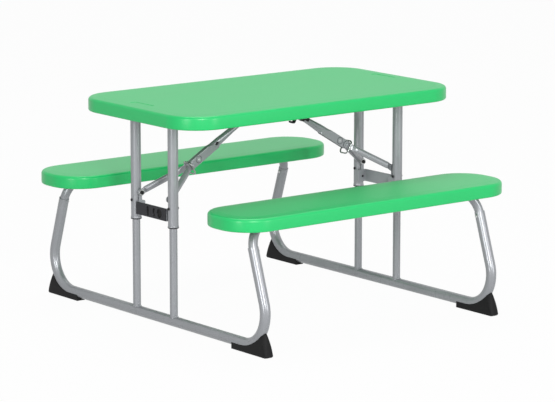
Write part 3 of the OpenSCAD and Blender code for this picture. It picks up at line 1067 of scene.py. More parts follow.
@dataclass
class EndFrame:
    """One end on the floor: the bent frame tube, two uprights, two feet and two joint screws."""

    look: Palette
    end: End
    x: float = 347.0
    rail_z: float = 19.0
    radius: float = 12.5
    wall: float = 1.45
    top_y: float = 384.15
    top_z: float = 249.0
    lean: float = 18.3
    bend: float = 80.0
    bend_y: float = 349.5
    upright_y: float = 75.5
    upright_r: float = 9.5
    upright_wall: float = 1.3
    upright_top: float = 244.69
    bead: float = 1.7
    ripples: tuple[Triple, ...] = ((0.22, 30.0, 0.0), (0.15, 7.0, 1.0))
    foot_half: float = 12.5
    foot_soft: float = 1.5
    toe_y: float = 316.0
    heel_y: float = 447.0
    heel_r: float = 6.0
    heel_flat: Pair = (5.0, 7.6)
    heel_edge: float = 3.0
    back_swell: float = 7.0
    crown: Pair = (55.5, 7.0)
    taper: Pair = (57.0, 0.5)
    screw: Triple = (4.6, 2.2, 1.1)
    screw_drop: float = 10.0
    screw_gap: float = 0.03

    def _tube(self) -> None:
        """The frame: a rail with a bend and a leaning leg at each end."""
        out = self.top_y + (self.top_z - self.rail_z) * math.tan(math.radians(self.lean))
        corners = [(-self.top_y, self.top_z), (-out, self.rail_z)]
        line = bent_line(corners, self.bend, 44, 14.0)
        path = np.insert(line, 0, self.end.value * self.x, axis=1)
        shell = tube(path, (1, 0, 0), self.radius, self.wall, 48)
        placed(shell, "base", self.look.coat, f"frame_{self.end.word}", "tube")

    def _saddle(self, dx: Grid) -> Grid:
        """Height of the rail's upper surface at a distance across it."""
        return self.rail_z + np.sqrt(self.radius**2 - dx**2)

    def _upright(self, side: Side) -> None:
        """A thin upright cut to the rail, with a rippled weld bead round its foot.

        A ripple is high * sin(times * a + start) for the angle a round the foot.

        Args:
            side: the long side that it belongs to.
        """
        x, y = self.end.value * self.x, side.value * self.upright_y
        z = np.linspace(self.rail_z + self.radius + 1, self.upright_top, 16)
        path = np.column_stack([np.full(16, x), np.full(16, y), z])
        ring = swept(path, (1, 0, 0), *ring_section(np.full(16, self.upright_r), 40))[0]
        ring[:, 2] = self._saddle(ring[:, 0] - x)
        shell = tube(path, (1, 0, 0), self.upright_r, self.upright_wall, 40, ring)
        a, b = around(120)[:, None], around(10)
        swell = self.bead
        for high, times, start in self.ripples:
            swell = swell + high * np.sin(times * a + start)
        out = self.upright_r + swell * np.cos(b)
        height = self._saddle(self.upright_r * np.cos(a)) + swell * np.sin(b)
        bead = np.stack([x + out * np.cos(a), y + out * np.sin(a), height], axis=-1)
        shell.grid(np.concatenate([bead, bead[:1]]), True)
        placed(shell, "base", self.look.coat, f"upright_{self.end.word}_{side.word}", "tube")

    def _narrowed(self, z: Grid) -> Grid:
        """The share of a foot's width that is left at a height."""
        height, share = self.taper
        return 1 - share * (np.clip(z, 0, height) / height) ** 3

    def _foot(self, side: Side) -> None:
        """A wedge under the bend that narrows upwards and hugs the outside of the tube.

        Half its width is foot_half (1 - 0.5 (z / 57)^3), and its top edge drops by 7 mm from
        the middle to the sides. Its outlines run from the toe along the floor and the heel to
        that edge, and back by the groove, whose radius at x across is bend + sqrt(radius^2 - x^2).

        Args:
            side: the long side that it belongs to.
        """
        soft, toe = self.foot_soft, self.toe_y
        e = np.array([0.0, 0.15, 0.5, 1.0, soft])
        flat, round_off = self.foot_half - e, soft - np.sqrt(soft**2 - (soft - e) ** 2)
        u = np.concatenate([-flat, [-10.4, -8, -4, 0, 4, 8, 10.4], flat[::-1]])[:, None]
        inset = np.concatenate([round_off, np.zeros(7), round_off[::-1]])[:, None]
        crown = self.crown[0] - self.crown[1] * (u / self.foot_half) ** 2
        centre_z = self.rail_z + self.bend
        tube_r, share = self.radius + 0.05, np.linspace(0, 1, 22)[None]
        cut = self.bend + np.sqrt(np.maximum(tube_r**2 - u**2, 0)) + 0 * share
        for _ in range(4):
            first = np.arcsin((crown - centre_z) / cut[:, -1:])
            turn = -np.pi / 2 + (first + np.pi / 2) * share
            across = u * self._narrowed(centre_z + cut * np.sin(turn))
            cut = self.bend + np.sqrt(np.maximum(tube_r**2 - across**2, 0)) + inset
        groove = np.stack([self.bend_y + cut * np.cos(turn), centre_z + cut * np.sin(turn)], -1)
        t, flat_y = np.linspace(0, 1, 18)[None], np.linspace(0, 1, 16)[None]
        beyond = np.clip((np.abs(u) - self.heel_flat[0]) / self.heel_flat[1], 0, 1)
        heel = self.heel_y - inset - self.heel_r * (1 - np.sqrt(1 - beyond**2))
        lip = groove[:, -1:, 0] + 1.5
        edge, swell = self.heel_edge, self.back_swell * t * (1 - t)
        back = np.stack([heel - (heel - lip) * t + swell, edge + (crown - edge - 1) * t], -1)
        under = toe + inset + (heel - edge - toe - inset) * flat_y
        floor = np.stack([under, inset + 0 * flat_y], -1)
        far = np.linspace(0, 0.92, 12)[None]
        ledge = toe + inset + (self.bend_y - toe - inset) * far
        shelf = np.stack([ledge, groove[:, :1, 1] + 0 * far], -1)
        outer, inner = (np.concatenate(p, axis=1) for p in ((floor, back), (shelf, groove)))
        place = np.array([self.end.value * self.x, 0.0, 0.0])

        def solid(outline: Grid, half: Grid) -> Grid:
            """The outlines in space, each point moved across by its own width."""
            x = half * self._narrowed(outline[..., 1])
            return np.stack([x, outline[..., 0] * side.value, outline[..., 1]], -1) + place

        steps = np.linspace(0, 1, 6)[:, None, None]
        shell = Shell().grid(solid(np.concatenate([outer, inner[:, ::-1]], axis=1), u), wrap=True)
        for i in (0, -1):
            shell.grid(solid(outer[i] + (inner[i] - outer[i]) * steps, u[i]))
        node = f"foot_{self.end.word}_{side.word}"
        placed(shell, "base", self.look.foot, node, "moulding", 34.0)

    def _screw(self, side: Side) -> None:
        """The screw on the inner side of a joint, under the end of the frame's leg.

        Args:
            side: the long side that it belongs to.
        """
        lean, inward = math.radians(self.lean), -self.end.value
        y = self.top_y + self.screw_drop * math.sin(lean)
        z = self.top_z - self.screw_drop * math.cos(lean)
        x = self.end.value * self.x + inward * (self.radius + self.screw_gap)
        shell = pan_head([x, side.value * y, z], [inward, 0, 0], *self.screw)
        node = f"joint_screw_{self.end.word}_{side.word}"
        placed(shell, "base", self.look.zinc, node, "head", 30.0)

    def build(self) -> None:
        """Builds every piece of this end."""
        self._tube()
        for side in Side:
            self._upright(side)
            self._foot(side)
            self._screw(side)


@dataclass
class Bench:
    """One seat on its bent tube, which plugs into both end frames."""

    look: Palette
    side: Side
    x: float = 347.0
    top_y: float = 384.15
    top_z: float = 249.0
    lean: float = 18.3
    rise: float = 58.0
    plug: float = 22.0
    bend: float = 66.0
    radius: float = 11.0
    wall: float = 1.4
    seat_y: float = 343.0
    saddle_x: float = 215.0
    run_y: float = 365.94
    screw: Triple = (4.2, 2.0, 1.0)
    screw_y: float = 20.0
    screw_z: float = 314.5

    def _seat(self) -> Panel:
        """The seat, with its sizes.

        Returns:
            The panel.
        """
        return Panel(
            f"bench_{self.side.word}", "seat", "base", length=836, width=188, corner=84, depth=33,
            top=325, plate=8, wall=5, centre_y=self.side.value * self.seat_y,
            dimple_pitch=(40.0, 36.0),
        )

    def build(self) -> None:
        """Builds the tube in its leaning plane, the seat, and the screws of the saddles."""
        lean, s, word = math.radians(self.lean), self.side.value, self.side.word
        corners = [(self.x, -self.plug), (self.x, self.rise)]
        line = bent_line(corners, self.bend, 36, 18.0)
        along = np.array([0.0, -s * math.sin(lean), math.cos(lean)])
        path = line[:, :1] * np.array([1.0, 0.0, 0.0]) + line[:, 1:] * along
        path += np.array([0.0, s * self.top_y, self.top_z])
        normal = np.cross([1.0, 0.0, 0.0], along)
        shell = tube(path, tuple(normal), self.radius, self.wall, 44)
        placed(shell, "base", self.look.coat, f"bench_tube_{word}", "bent")
        self._seat().build(self.look.seat)
        screws = Shell()
        for end in End:
            kept(f"bench_saddle_{end.word}_{word}", self.look.zinc, 0.5)
            for dy in (-self.screw_y, self.screw_y):
                seat = [end.value * self.saddle_x, s * self.run_y + dy, self.screw_z]
                screws.joined(pan_head(seat, [0, 0, -1], *self.screw))
        placed(screws, "base", self.look.zinc, f"saddle_screws_{word}", sharp=30.0)


@dataclass
class TableTop:
    """The moulded top with its bracket, leg saddles and their screws."""

    look: Palette
    patch: Pair = (372.0, 12.0)
    saddle_x: float = 347.0
    saddle_y: float = 38.0
    saddle_screw: Triple = (4.2, 1.8, 0.9)
    saddle_screw_x: float = 22.0
    saddle_screw_z: float = 519.5
    bracket_screw: Triple = (3.6, 1.6, 0.8)
    bracket_screw_at: Triple = (25.0, 16.0, 526.0)

    def _panel(self) -> Panel:
        """The top itself, with its sizes.

        Returns:
            The panel.
        """
        x, y = self.patch
        return Panel(
            "tabletop", "moulding", "top", length=834, width=468, corner=90, depth=34, top=533.4,
            plate=11.4, wall=6, groove=(300.0, 26.0, 6.0), patches=((-x, y), (x, y)),
        )

    def build(self) -> None:
        """Builds the panel and dresses what is screwed under it."""
        self._panel().build(self.look.top)
        kept("brace_bracket", self.look.sheet, 0.4)
        screws, down = Shell(), [0, 0, -1]
        for end in End:
            for side in Side:
                kept(f"leg_saddle_{end.word}_{side.word}", self.look.zinc, 0.5)
                x, y = end.value * self.saddle_x, side.value * self.saddle_y
                for dx in (-self.saddle_screw_x, self.saddle_screw_x):
                    seat = [x + dx, y, self.saddle_screw_z]
                    screws.joined(pan_head(seat, down, *self.saddle_screw))
        x, y, z = self.bracket_screw_at
        for seat in ([-x, -y, z], [-x, y, z], [x, -y, z], [x, y, z]):
            screws.joined(pan_head(seat, down, *self.bracket_screw))
        placed(screws, "top", self.look.zinc, "top_screws", sharp=30.0)


@dataclass
class FoldingLeg:
    """One bent leg tube with its end rings, rivets, cross plate and insert."""

    look: Palette
    end: End
    x: float = 347.0
    y: float = 75.5
    foot_z: float = 246.0
    pivot_z: float = 506.0
    radius: float = 12.5
    wall: float = 1.6
    bend: float = 24.0
    leg_rivet: Quad = (2.0, 3.6, 14.15, 15.45)
    rivet_z: float = 292.0
    skin: float = 12.56
    lip: Profile = (
        (8.8, 0.2), (9.1, 0.0), (12.6, 0.0), (13.2, 0.3), (13.4, 0.9), (13.3, 1.9),
        (12.9, 2.2), (12.56, 2.2), (12.56, 0.95), (8.8, 0.95), (8.8, 0.2),
    )
    swelling: Profile = (
        (12.4, 0), (12.95, 0.1), (13.15, 0.6), (13.15, 3), (12.9, 3.6), (12.4, 3.8), (12.4, 0),
    )
    plate_z: Pair = (259.5, 290.5)
    plate_back: float = 332.0
    plate_rivet: Triple = (3.0, 1.1, 273.0)
    neck_x: Pair = (341.5, 350.0)
    ear_at: Pair = (345.0, 311.0)
    ear_r: float = 9.0
    flange_y: Pair = (58.2, 60.2)
    wrap_y: float = 59.2
    web_x: Pair = (354.0, 355.95)
    insert_x: Pair = (356.06, 359.0)
    insert_y: float = 60.2
    insert_z: float = 275.0
    insert_half: float = 15.0
    hole_shade_depth: float = 2.4
    slot_at: Pair = (12.0, -11.5)
    slot_half: Pair = (4.4, 3.2)
    slot_run: float = 6.5
    slot_bow: Pair = (2.4, 9.0)
    socket_at: Pair = (-36.0, 0.5)
    socket_r: Pair = (10.2, 14.2)
    raised: float = 0.8
    edge_r: float = 0.9

    def _turned(self, side: Side, profile: Profile, height: float) -> Shell:
        """A profile of (radius, height) turned round one of the two legs, from a height."""
        origin = [self.end.value * self.x, side.value * self.y, self.foot_z + height]
        return turned(profile, origin, [0, 0, 1], 56)

    def _ring(self, side: Side) -> None:
        """The dark lip of the ring that caps a leg's end.

        Args:
            side: the long side that it belongs to.
        """
        shell, node = self._turned(side, self.lip, -1.0), f"leg_ring_{self.end.word}_{side.word}"
        placed(shell, f"{self.end.word}_leg", self.look.dark, node, "cap", 50.0)

    def _plate(self) -> None:
        """The stamped sheet between the legs: a web, two flanges with necks to the pins, wraps."""
        e, shell, body = self.end.value, Shell(), f"{self.end.word}_leg"
        (low, high), (inner, outer) = self.plate_z, self.web_x
        x, (rear, front) = self.plate_back, self.neck_x
        ear = arc(self.ear_at, self.ear_r, -56.2, 247.0, 30)
        neck = rounded_line([(356.0, high), (front, high), tuple(ear[0])], [2.0], 6)
        turns = [tuple(ear[-1]), (rear, high), (x, high), (x, low), (355.9, low)]
        back = rounded_line(turns, [2.0, 3.0, 3.0], 6)
        flange = np.vstack([neck, ear[1:], back[1:]])
        arch = arc((self.x, self.y), self.skin, 236.1, 180.0, 12)
        edge, y = x + 0.9, self.wrap_y
        wrap = np.vstack([[[edge, y], [340.0, y]], arch, [[edge, self.y]]])
        for side in Side:
            y = side.value
            shell.capped(prism(flange, 1, *(y * v for v in self.flange_y)))
            shell.capped(prism(wrap * [1, y], 2, low, high))
        low, high = low + 0.1, high - 0.1
        web = np.array([[inner, low], [outer, low], [outer, high], [inner, high]])
        shell.capped(prism(web, 1, -59.9, 59.9))
        shell.moved(np.diag([float(e), 1.0, 1.0]), np.zeros(3))
        node = f"cross_plate_{self.end.word}"
        placed(shell, body, self.look.sheet, node, "folded", 34.0, 0.45)
        rivets, (radius, height, z) = Shell(), self.plate_rivet
        for y in (-self.flange_y[0], self.flange_y[0]):
            rivets.joined(pan_head([e * 346.0, y, z], [0, -y, 0], radius, height))
        placed(rivets, body, self.look.dark, f"plate_rivets_{self.end.word}", sharp=34.0)

    def _insert(self) -> None:
        """The insert on the sheet's outer face, as a field of depths below that face.

        A straight slot, a slot bent like a bracket and a socket in a raised ring are cut in shallow
        by smooth steps of their distances and painted black as shade; the right insert is the left
        one turned half round.
        """
        e, half, middle = self.end.value, self.insert_half, self.insert_z
        v, w = np.meshgrid(
            np.linspace(-self.insert_y, self.insert_y, 180),
            np.linspace(middle - half, middle + half, 50),
            indexing="ij",
        )
        rise = np.maximum(np.abs(w - middle) - self.slot_run, 0)
        bow = self.slot_bow[0] * ((w - middle) / self.slot_bow[1]) ** 2
        (first, second), (wide, narrow) = self.slot_at, self.slot_half
        straight = np.hypot(v - first, rise) - wide
        bent = np.hypot(v - second + bow, rise) - narrow
        (across, up), (bore, ring) = self.socket_at, self.socket_r
        away = np.hypot(v - across, w - middle - up)
        cut = np.minimum(np.minimum(straight, bent), away - bore)
        # this mask marks the slots and socket: it sets their depth and where black shade is painted
        hole_shade = smooth_step((0.5 - cut) / 0.7)
        edge = np.minimum(self.insert_y - np.abs(v), half - np.abs(w - middle))
        (inner, outer), raised = self.insert_x, self.raised
        face = outer + raised * smooth_step((ring - away) / raised) - self.hole_shade_depth * hole_shade
        face -= raised * (1 - smooth_step(edge / self.edge_r))
        front, rear = (np.stack([e * x, -e * v, w], -1) for x in (face, inner + 0 * face))
        # the mark paints black shade in the shallow slots and socket
        shell = Shell().grid(front, mark=hole_shade).grid(rear)
        shell.grid(np.stack([border(front), border(rear)]), wrap=True)
        node = f"cross_insert_{self.end.word}"
        placed(shell, f"{self.end.word}_leg", self.look.insert, node, "moulding", 50.0)

    def build(self) -> None:
        """Builds the tube, swollen above its rings, the rings and rivets, the plate and insert."""
        word, x = self.end.word, self.end.value * self.x
        corners = [(-self.y, self.foot_z), (-self.y, self.pivot_z)]
        line = bent_line(corners, self.bend, 20, 12.0)
        shell = tube(np.insert(line, 0, x, axis=1), (1, 0, 0), self.radius, self.wall, 48)
        for side in Side:
            shell.joined(self._turned(side, self.swelling, 1.4))
        placed(shell, f"{word}_leg", self.look.coat, f"leg_{word}", "tube")
        for side in Side:
            self._ring(side)
            shell = rivet([x, side.value * self.y, self.rivet_z], [1, 0, 0], *self.leg_rivet)
            node = f"leg_rivet_{word}_{side.word}"
            placed(shell, f"{word}_leg", self.look.dark, node, "domed", 35.0)
        self._plate()
        self._insert()


@dataclass
class Brace:
    """One folding brace, in its own frame: X runs down the brace from the upper pin.

    A Quad holds what rivet takes, and ridge, moat and shadow hold what hill takes.
    """

    look: Palette
    end: End
    pin_x: float = 14.0
    pin_z: float = 508.0
    slope: float = 30.759677
    upper: float = 261.594
    lower: float = 123.594
    tube_r: float = 7.5
    half_w: float = 6.0
    half_h: float = 11.0
    sheet: float = 1.8
    swell: Pair = (0.7, 3.0)
    swell_x: Pair = (120.0, 48.0)
    crease: Triple = (164.0, 26.0, 12.0)
    hole_shade_x: float = 174.0
    hole_shade_half: Pair = (5.4, 3.6)
    hole_shade_sink: float = 4.4
    stop: float = 23.4
    stop_rivet: Quad = (1.9, 2.9, 6.0, 6.4)
    ridge: Triple = (0.2, 7.0, 0.7)
    moat: Triple = (0.3, 8.6, 0.9)
    # painted shadow ring round the stop rivet: darkness, radius and width
    shadow: Triple = (0.85, 8.4, 0.95)
    eye: Profile = ((3.05, -6), (8.0, -6), (8.8, -5.4), (9, -4.6))
    knee_pin: Quad = (3.0, 4.3, 9.4, 12.1)
    knee_r: float = 9.5
    flat_y: float = 7.9
    flat_half: float = 1.5
    foot_r: float = 8.0
    waist: Pair = (2.0, 1.4)
    lower_bend: float = 16.0
    lower_bend_x: float = 12.0
    opens: Pair = (14.0, 17.0)
    closes: Pair = (8.0, 9.0)
    lower_r: float = 6.5
    lower_h: float = 8.2
    lower_y: float = 56.0
    bolt: Profile = (
        (0, 0), (4.0, 0), (4.9, 0.7), (4.9, 4.0), (3.0, 4.0), (3.0, 8.3), (0, 8.4),
    )
    washer: Profile = (
        (3.2, 3.6), (7.4, 3.6), (7.6, 3.8), (7.6, 3.95), (3.2, 3.95), (3.2, 3.6),
    )
    wire: float = 1.9
    ring_half: Pair = (14.4, 16.9)
    ring_corner: float = 8.0
    ring_at: float = 6.5
    ring_drop: float = 4.0

    def put(self, shell: Shell, part: str, *spec: Finish | str | float) -> None:
        """Turns a shell into the table's frame and makes a piece of it.

        Args:
            shell: the piece's surface in the brace's frame.
            part: the body's name after the end's.
            spec: what placed takes after the body.
        """
        e, slope = self.end.value, math.radians(self.slope)
        c, s = math.cos(slope), math.sin(slope)
        turn = np.array([[e * c, 0.0, e * s], [0.0, float(e), 0.0], [-s, 0.0, c]])
        shell.moved(turn, np.array([e * self.pin_x, 0.0, self.pin_z]))
        placed(shell, f"{self.end.word}_{part}", *spec)

    def _channel(self, half_w: float, radius: float, count: int) -> Grid:
        """A channel open below, 22 high: up one side, round two corners and down, evenly.

        Args:
            half_w: half its width.
            radius: of its corners.
            count: how many points.

        Returns:
            An array of count by 2.
        """
        high = self.half_h
        right = arc((half_w - radius, high - radius), radius, 0, 90, 9)
        line = np.vstack([[[half_w, -high]], right, (right * [-1, 1])[::-1], [[-half_w, -high]]])
        length = np.concatenate([[0], np.cumsum(np.linalg.norm(np.diff(line, axis=0), axis=1))])
        s = np.linspace(0, length[-1], count)
        return np.stack([np.interp(s, length, line[:, i]) for i in (0, 1)], -1)

    def _skins(self, x: Grid, count: int) -> tuple[Grid, Grid]:
        """The upper arm's outer and inner section at each station, each with count points.

        The half height of the tube grows evenly from the clip to the crease. The crease runs
        up the side at x = 169 and then along the upper edge to x = 195, and each point of the
        section goes from the tube to the channel by a smooth step over 12 mm from there. The
        channel's end is rounded about the knee pin.

        Args:
            x: stations along the arm.
            count: points round each section.

        Returns:
            Two grids of stations by count by 2.
        """
        circle = arc((0, 0), 1, -89.2, 269.2, count)[None]
        start, length = self.swell_x
        grow = np.clip((x - start) / length, 0, 1)[:, None, None]
        beyond = (x - self.upper) / self.half_h
        end = np.where(beyond > 0, np.sqrt(np.maximum(1 - beyond**2, 0.001)), 1.0)
        shrink = np.stack([np.ones(len(x)), end], -1)[:, None]
        outer_c = self._channel(self.half_w, 2.6, count)
        inner_c = self._channel(self.half_w - self.sheet, 1.2, count)
        inner_c[:, 1] -= self.sheet * smooth_step(inner_c[:, 1] / 6)
        first, run, fade = self.crease
        begins = first + run * smooth_step((outer_c[:, 1] - 1) / 9)
        m = smooth_step((x[:, None] - begins) / fade)[..., None]
        narrower, taller = self.swell
        wide, high = self.tube_r - narrower * grow, self.tube_r + taller * grow
        skins = []
        for inset, channel in ((0.0, outer_c), (self.sheet, inner_c)):
            half = np.concatenate([wide - inset, high - inset], -1)
            skins.append((1 - m) * (half * circle) + m * channel * shrink)
        return tuple(skins)

    def _upper_arm(self) -> None:
        """The upper arm: a tube that widens, creases and opens into a channel round the knee.

        A ring is pressed round the stop rivet: a ridge and a moat, each with its height, radius and
        width; a painted shadow ring round it has its darkness, radius and width. The hole near the
        crease is a pit, sunk in and painted black as its shade.
        """
        nose = self.upper + self.half_h
        x = np.concatenate([
            np.linspace(4, 118, 16),
            np.linspace(118, 160, 24)[1:],
            np.linspace(160, self.upper, 116)[1:],
            self.upper + self.half_h * np.sin(np.linspace(0, 1.5, 14)[1:]),
        ])
        x = x[x < nose - 0.05]
        outer, inner = self._skins(x, 84)
        flat = np.abs(outer[..., 0]) > 4.5
        away = np.hypot(x[:, None] - (self.upper - self.stop), outer[..., 1])
        ridge = hill(away, *self.ridge) - hill(away, *self.moat)
        long, high = self.hole_shade_half
        oval = np.hypot((x[:, None] - self.hole_shade_x) / long, (outer[..., 1] - 0.6) / high)
        pit = smooth_step((1.12 - oval) / 0.26) * (outer[..., 0] > 3)
        # mark paints shade: black in the pit that stands for the hole, and a painted shadow ring
        # round the stop rivet on the flat sides
        mark = np.maximum(pit, flat * hill(away, *self.shadow))
        for skin in (outer, inner):
            skin[..., 0] += ridge * flat * np.sign(outer[..., 0]) - self.hole_shade_sink * pit
        along = np.broadcast_to(x[:, None, None], (*outer.shape[:2], 1))
        skins = [np.concatenate([along, skin], axis=-1) for skin in (outer, inner)]
        shell = Shell().grid(skins[0], mark=mark).grid(skins[1])
        for i in (0, -1):
            shell.grid(np.stack([skins[0][i], skins[1][i]]))
            shell.grid(np.stack([skins[0][:, i], skins[1][:, i]]))
        eye = [*self.eye, *((r, -h) for r, h in self.eye[::-1]), self.eye[0]]
        shell.joined(turned(eye, [0, 0, 0], [0, 1, 0], 48))
        word = self.end.word
        self.put(shell, "upper_brace", self.look.coat, f"upper_arm_{word}", "stamped")
        shell = rivet([self.upper - self.stop, 0, 0], [0, 1, 0], *self.stop_rivet)
        self.put(shell, "upper_brace", self.look.zinc, f"stop_rivet_{word}", "domed", 35.0)

    def _lower_arm(self, side: Side) -> None:
        """A lower arm: a tube crushed flat at both ends, which are rounded about their pins.

        Half height and half thickness run between the flat and the round sizes by smooth
        steps along the arm, and end as circles about the pins.

        Args:
            side: the long side that it belongs to.
        """
        out, run, knee_r, foot_r = self.lower_y, self.lower, self.knee_r, self.foot_r
        turn, bend = self.lower_bend_x, self.lower_bend
        corners = [(0.05 - knee_r, self.flat_y), (turn, self.flat_y), (run - turn, out)]
        line = rounded_line(corners + [(run + foot_r - 0.05, out)], [bend, bend], 12)
        line = resampled(line, 2.2)
        x = line[:, 0]
        (opens, rise), (closes, fall) = self.opens, self.closes
        body = np.minimum(smooth_step((x - opens) / rise), smooth_step((run - closes - x) / fall))
        knee = knee_r - self.waist[0] * smooth_step(x / 15)
        foot = foot_r - self.waist[1] * smooth_step((run - x) / 14)
        flat_h = np.where(x < run / 2, knee, foot)
        half_h = flat_h + (self.lower_h - flat_h) * body
        half_h = np.where(x < 0, np.sqrt(np.maximum(knee_r**2 - x**2, 0.3)), half_h)
        half_h = np.where(x > run, np.sqrt(np.maximum(foot_r**2 - (x - run) ** 2, 0.3)), half_h)
        half_t = self.flat_half + (self.lower_r - self.flat_half) * body
        along, across = bulged(half_t, half_h, 5.0 - 3.0 * body, 40)
        points = swept(np.insert(line, 2, 0.0, axis=1), (0, 0, 1), across, along)
        mirror, names = side.value * self.end.value, f"{self.end.word}_{side.word}"
        points = points * [1, mirror, 1] + [self.upper, 0, 0]
        shell = Shell().capped(points)
        self.put(shell, "lower_brace", self.look.coat, f"lower_arm_{names}", "crushed", 42.0)
        seat = [self.upper + run, mirror * (out - self.flat_half - 4), 0.0]
        axis = [0, mirror, 0]
        shell = turned(self.bolt, seat, axis, 6)
        self.put(shell, "lower_brace", self.look.dark, f"brace_bolt_{names}", "hex", 25.0, 0.25)
        shell = turned(self.washer, seat, axis, 40)
        self.put(shell, "lower_brace", self.look.zinc, f"bolt_washer_{names}", "", 35.0)

    def _lock(self) -> None:
        """The lock ring: round wire on a rectangle with rounded corners, joined end to end."""
        half, corner = np.array(self.ring_half), self.ring_corner
        way = arc((0, 0), 1, 0, 360, 97)[:-1]
        line = np.sign(way) * (half - corner) + corner * way - [0, self.ring_drop]
        path = np.insert(line, 0, self.upper + self.ring_at, axis=1)
        path = np.concatenate([path[-1:], path, path[:2]])
        section = ring_section(np.full(len(path), self.wire), 18)
        shell = Shell().grid(swept(path, (1, 0, 0), *section)[1:-1], True)
        self.put(shell, "lock", self.look.wire, f"lock_ring_{self.end.word}", "wire")

    def build(self) -> None:
        """Builds every piece of this brace."""
        self._upper_arm()
        for side in Side:
            self._lower_arm(side)
        shell = rivet([self.upper, 0, 0], [0, 1, 0], *self.knee_pin)
        self.put(shell, "lower_brace", self.look.pin, f"knee_pin_{self.end.word}", "domed", 35.0)
        self._lock()


@dataclass
class Clip:
    """The dark clip on the right upper arm: a sprung body, a neck and a hooked strap."""

    arm: Brace
    start: float = 99.0
    collar: float = 8.1
    length: float = 20.0
    radius: float = 10.5
    bore: float = 7.56
    flat: float = 8.6
    strap: float = 83.0
    half_w: float = 6.0
    hook: Profile = ((0.0, -8.0), (0.0, -23.4), (-10.5, -25.0))
    thick: float = 1.35
    tip: float = 1.1

    def _body(self) -> Shell:
        """A C-shaped sleeve, open below, and a full collar at its hooked end.

        Returns:
            The closed shell.
        """
        skins = [arc((0, 0), r, -22, 202, 41) for r in (self.radius, self.bore)]
        loop = np.concatenate([skins[0], skins[1][::-1]])
        collar_end = self.start + self.collar
        shell = Shell().capped(prism(loop, 0, collar_end + 0.1, self.start + self.length))
        outer, inner = (arc((0, 0), r, -90, 270, 73)[:-1] for r in (self.radius, self.bore))
        outer[:, 1] = np.maximum(outer[:, 1], -self.flat)
        skins = [prism(s, 0, self.start, collar_end) for s in (outer, inner)]
        shell.grid(skins[0], True).grid(skins[1], True)
        for i in (0, 1):
            shell.grid(np.stack([skins[0][i], skins[1][i]]), True)
        return shell

    def _hook(self) -> Shell:
        """The strap and its thick tip: a bar 12 wide that leaves the neck and runs level.

        Returns:
            The closed shell.
        """
        x = self.strap + 1.5
        line = rounded_line([(x + dx, z) for dx, z in self.hook], [3.0], 8)
        path = np.insert(resampled(line, 1.5), 1, 0.0, axis=1)
        n = len(path)
        half_t = self.thick + self.tip * smooth_step((np.arange(n) - 0.62 * n) / (0.2 * n))
        half_t[-1] -= 0.6
        across, along = bulged(np.full(n, self.half_w), half_t, np.full(n, 6.0), 36)
        return Shell().capped(swept(path, (0, 1, 0), across, along))

    def _neck(self) -> Shell:
        """The block between the collar and the strap, hollowed for the arm.

        Returns:
            The closed shell.
        """
        hollow = arc((0, 0), self.bore, -148, -32, 15)[::-1]
        hollow = hollow[np.abs(hollow[:, 0]) <= self.half_w]
        loop = np.vstack([[[-self.half_w, -self.flat], [self.half_w, -self.flat]], hollow])
        return Shell().capped(prism(loop, 0, self.strap, self.start + 1.0))

    def build(self) -> None:
        """Builds the clip as one piece."""
        shell = self._body().joined(self._hook()).joined(self._neck())
        self.arm.put(shell, "upper_brace", self.arm.look.clip, "brace_clip", "moulding", 38.0, 0.6)


# ---- studio


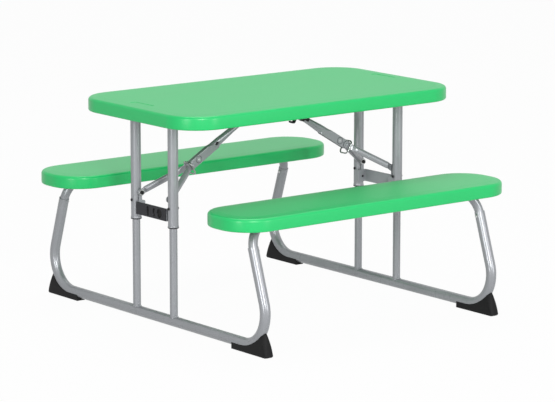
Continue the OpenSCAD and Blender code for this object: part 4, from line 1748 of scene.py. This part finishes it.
@dataclass
class Studio:
    """A pale floor, soft lights, a white surround, and the photograph's camera."""

    camera_at: Triple = (-4.3743, -5.6107, 1.6188)
    pitch: float = -0.189
    yaw: float = -0.665
    lens: float = 191.28
    ambient: float = 0.24
    glow: float = 0.97
    floor_half: float = 30.0
    floor_z: float = -0.0002
    aim: Triple = (0.0, 0.0, 0.3)

    def _floor(self) -> None:
        """A wide floor that keeps the shadow and meets the white surround."""
        r, z = self.floor_half, self.floor_z
        mesh = bpy.data.meshes.new("floor")
        mesh.from_pydata([(-r, -r, z), (r, -r, z), (r, r, z), (-r, r, z)], [], [(0, 1, 2, 3)])
        floor = linked("floor", mesh)
        t = Tree("floor_paper")
        grey = t.blend(t.noise(400.0), (0.64, 0.64, 0.64), (0.67, 0.67, 0.67))
        paper = t.node("ShaderNodeBsdfDiffuse", {}, {"Color": grey})
        white = t.node("ShaderNodeEmission", {}, {"Color": (1.0, 1.0, 1.0, 1.0), "Strength": 1.0})
        mesh.materials.append(t.closed(t.mixed(t.seen() * self.glow, paper, white)))

    def _lamp(self, name: str, at: Triple, size: Pair, watts: float) -> None:
        """A soft light, wide by tall, that points at the table.

        Args:
            name: its name.
            at: its place, in metres.
            size: in metres.
            watts: its power.
        """
        light = bpy.data.lights.new(name, "AREA")
        light.shape, light.energy = "RECTANGLE", watts
        light.size, light.size_y = size
        lamp = linked(name, light)
        lamp.location = at
        lamp.rotation_euler = (Vector(self.aim) - Vector(at)).to_track_quat("-Z", "Y").to_euler()

    def _world(self) -> None:
        """Soft grey light all round, which looks white in the picture."""
        world = bpy.data.worlds.new("surround")
        bpy.context.scene.world = world
        t = Tree("surround", world)
        lit, white = (
            t.node("ShaderNodeBackground", {}, {"Color": (1.0, 1.0, 1.0, 1.0), "Strength": s})
            for s in (self.ambient, 1.0)
        )
        t.closed(t.mixed(t.seen(), lit, white), "World")

    def build(self) -> None:
        """Sets the floor, lights, world and camera."""
        scene = bpy.context.scene
        scene.view_settings.view_transform = "Standard"
        self._floor()
        self._world()
        self._lamp("key", (-2.2, -4.8, 2.3), (1.0, 2.2), 190.0)
        self._lamp("left_strip", (-5.0, -2.1, 1.0), (0.4, 1.8), 90.0)
        self._lamp("right_strip", (1.4, -5.1, 1.0), (0.4, 1.8), 70.0)
        self._lamp("overhead", (0.6, 0.6, 4.4), (2.6, 2.6), 90.0)
        view = bpy.data.cameras.new("camera")
        view.lens, view.sensor_width, view.clip_end = self.lens, 36.0, 100.0
        camera = linked("camera", view)
        camera.location = self.camera_at
        camera.rotation_euler = (math.pi / 2 + self.pitch, 0.0, self.yaw)
        scene.camera = camera


def main() -> None:
    palette = Palette()
    for end in End:
        EndFrame(palette, end).build()
    for side in Side:
        Bench(palette, side).build()
    TableTop(palette).build()
    for end in End:
        FoldingLeg(palette, end).build()
        Brace(palette, end).build()
    Clip(Brace(palette, End.RIGHT)).build()
    Studio().build()
    bpy.context.view_layer.update()


if __name__ == "__main__":
    main()
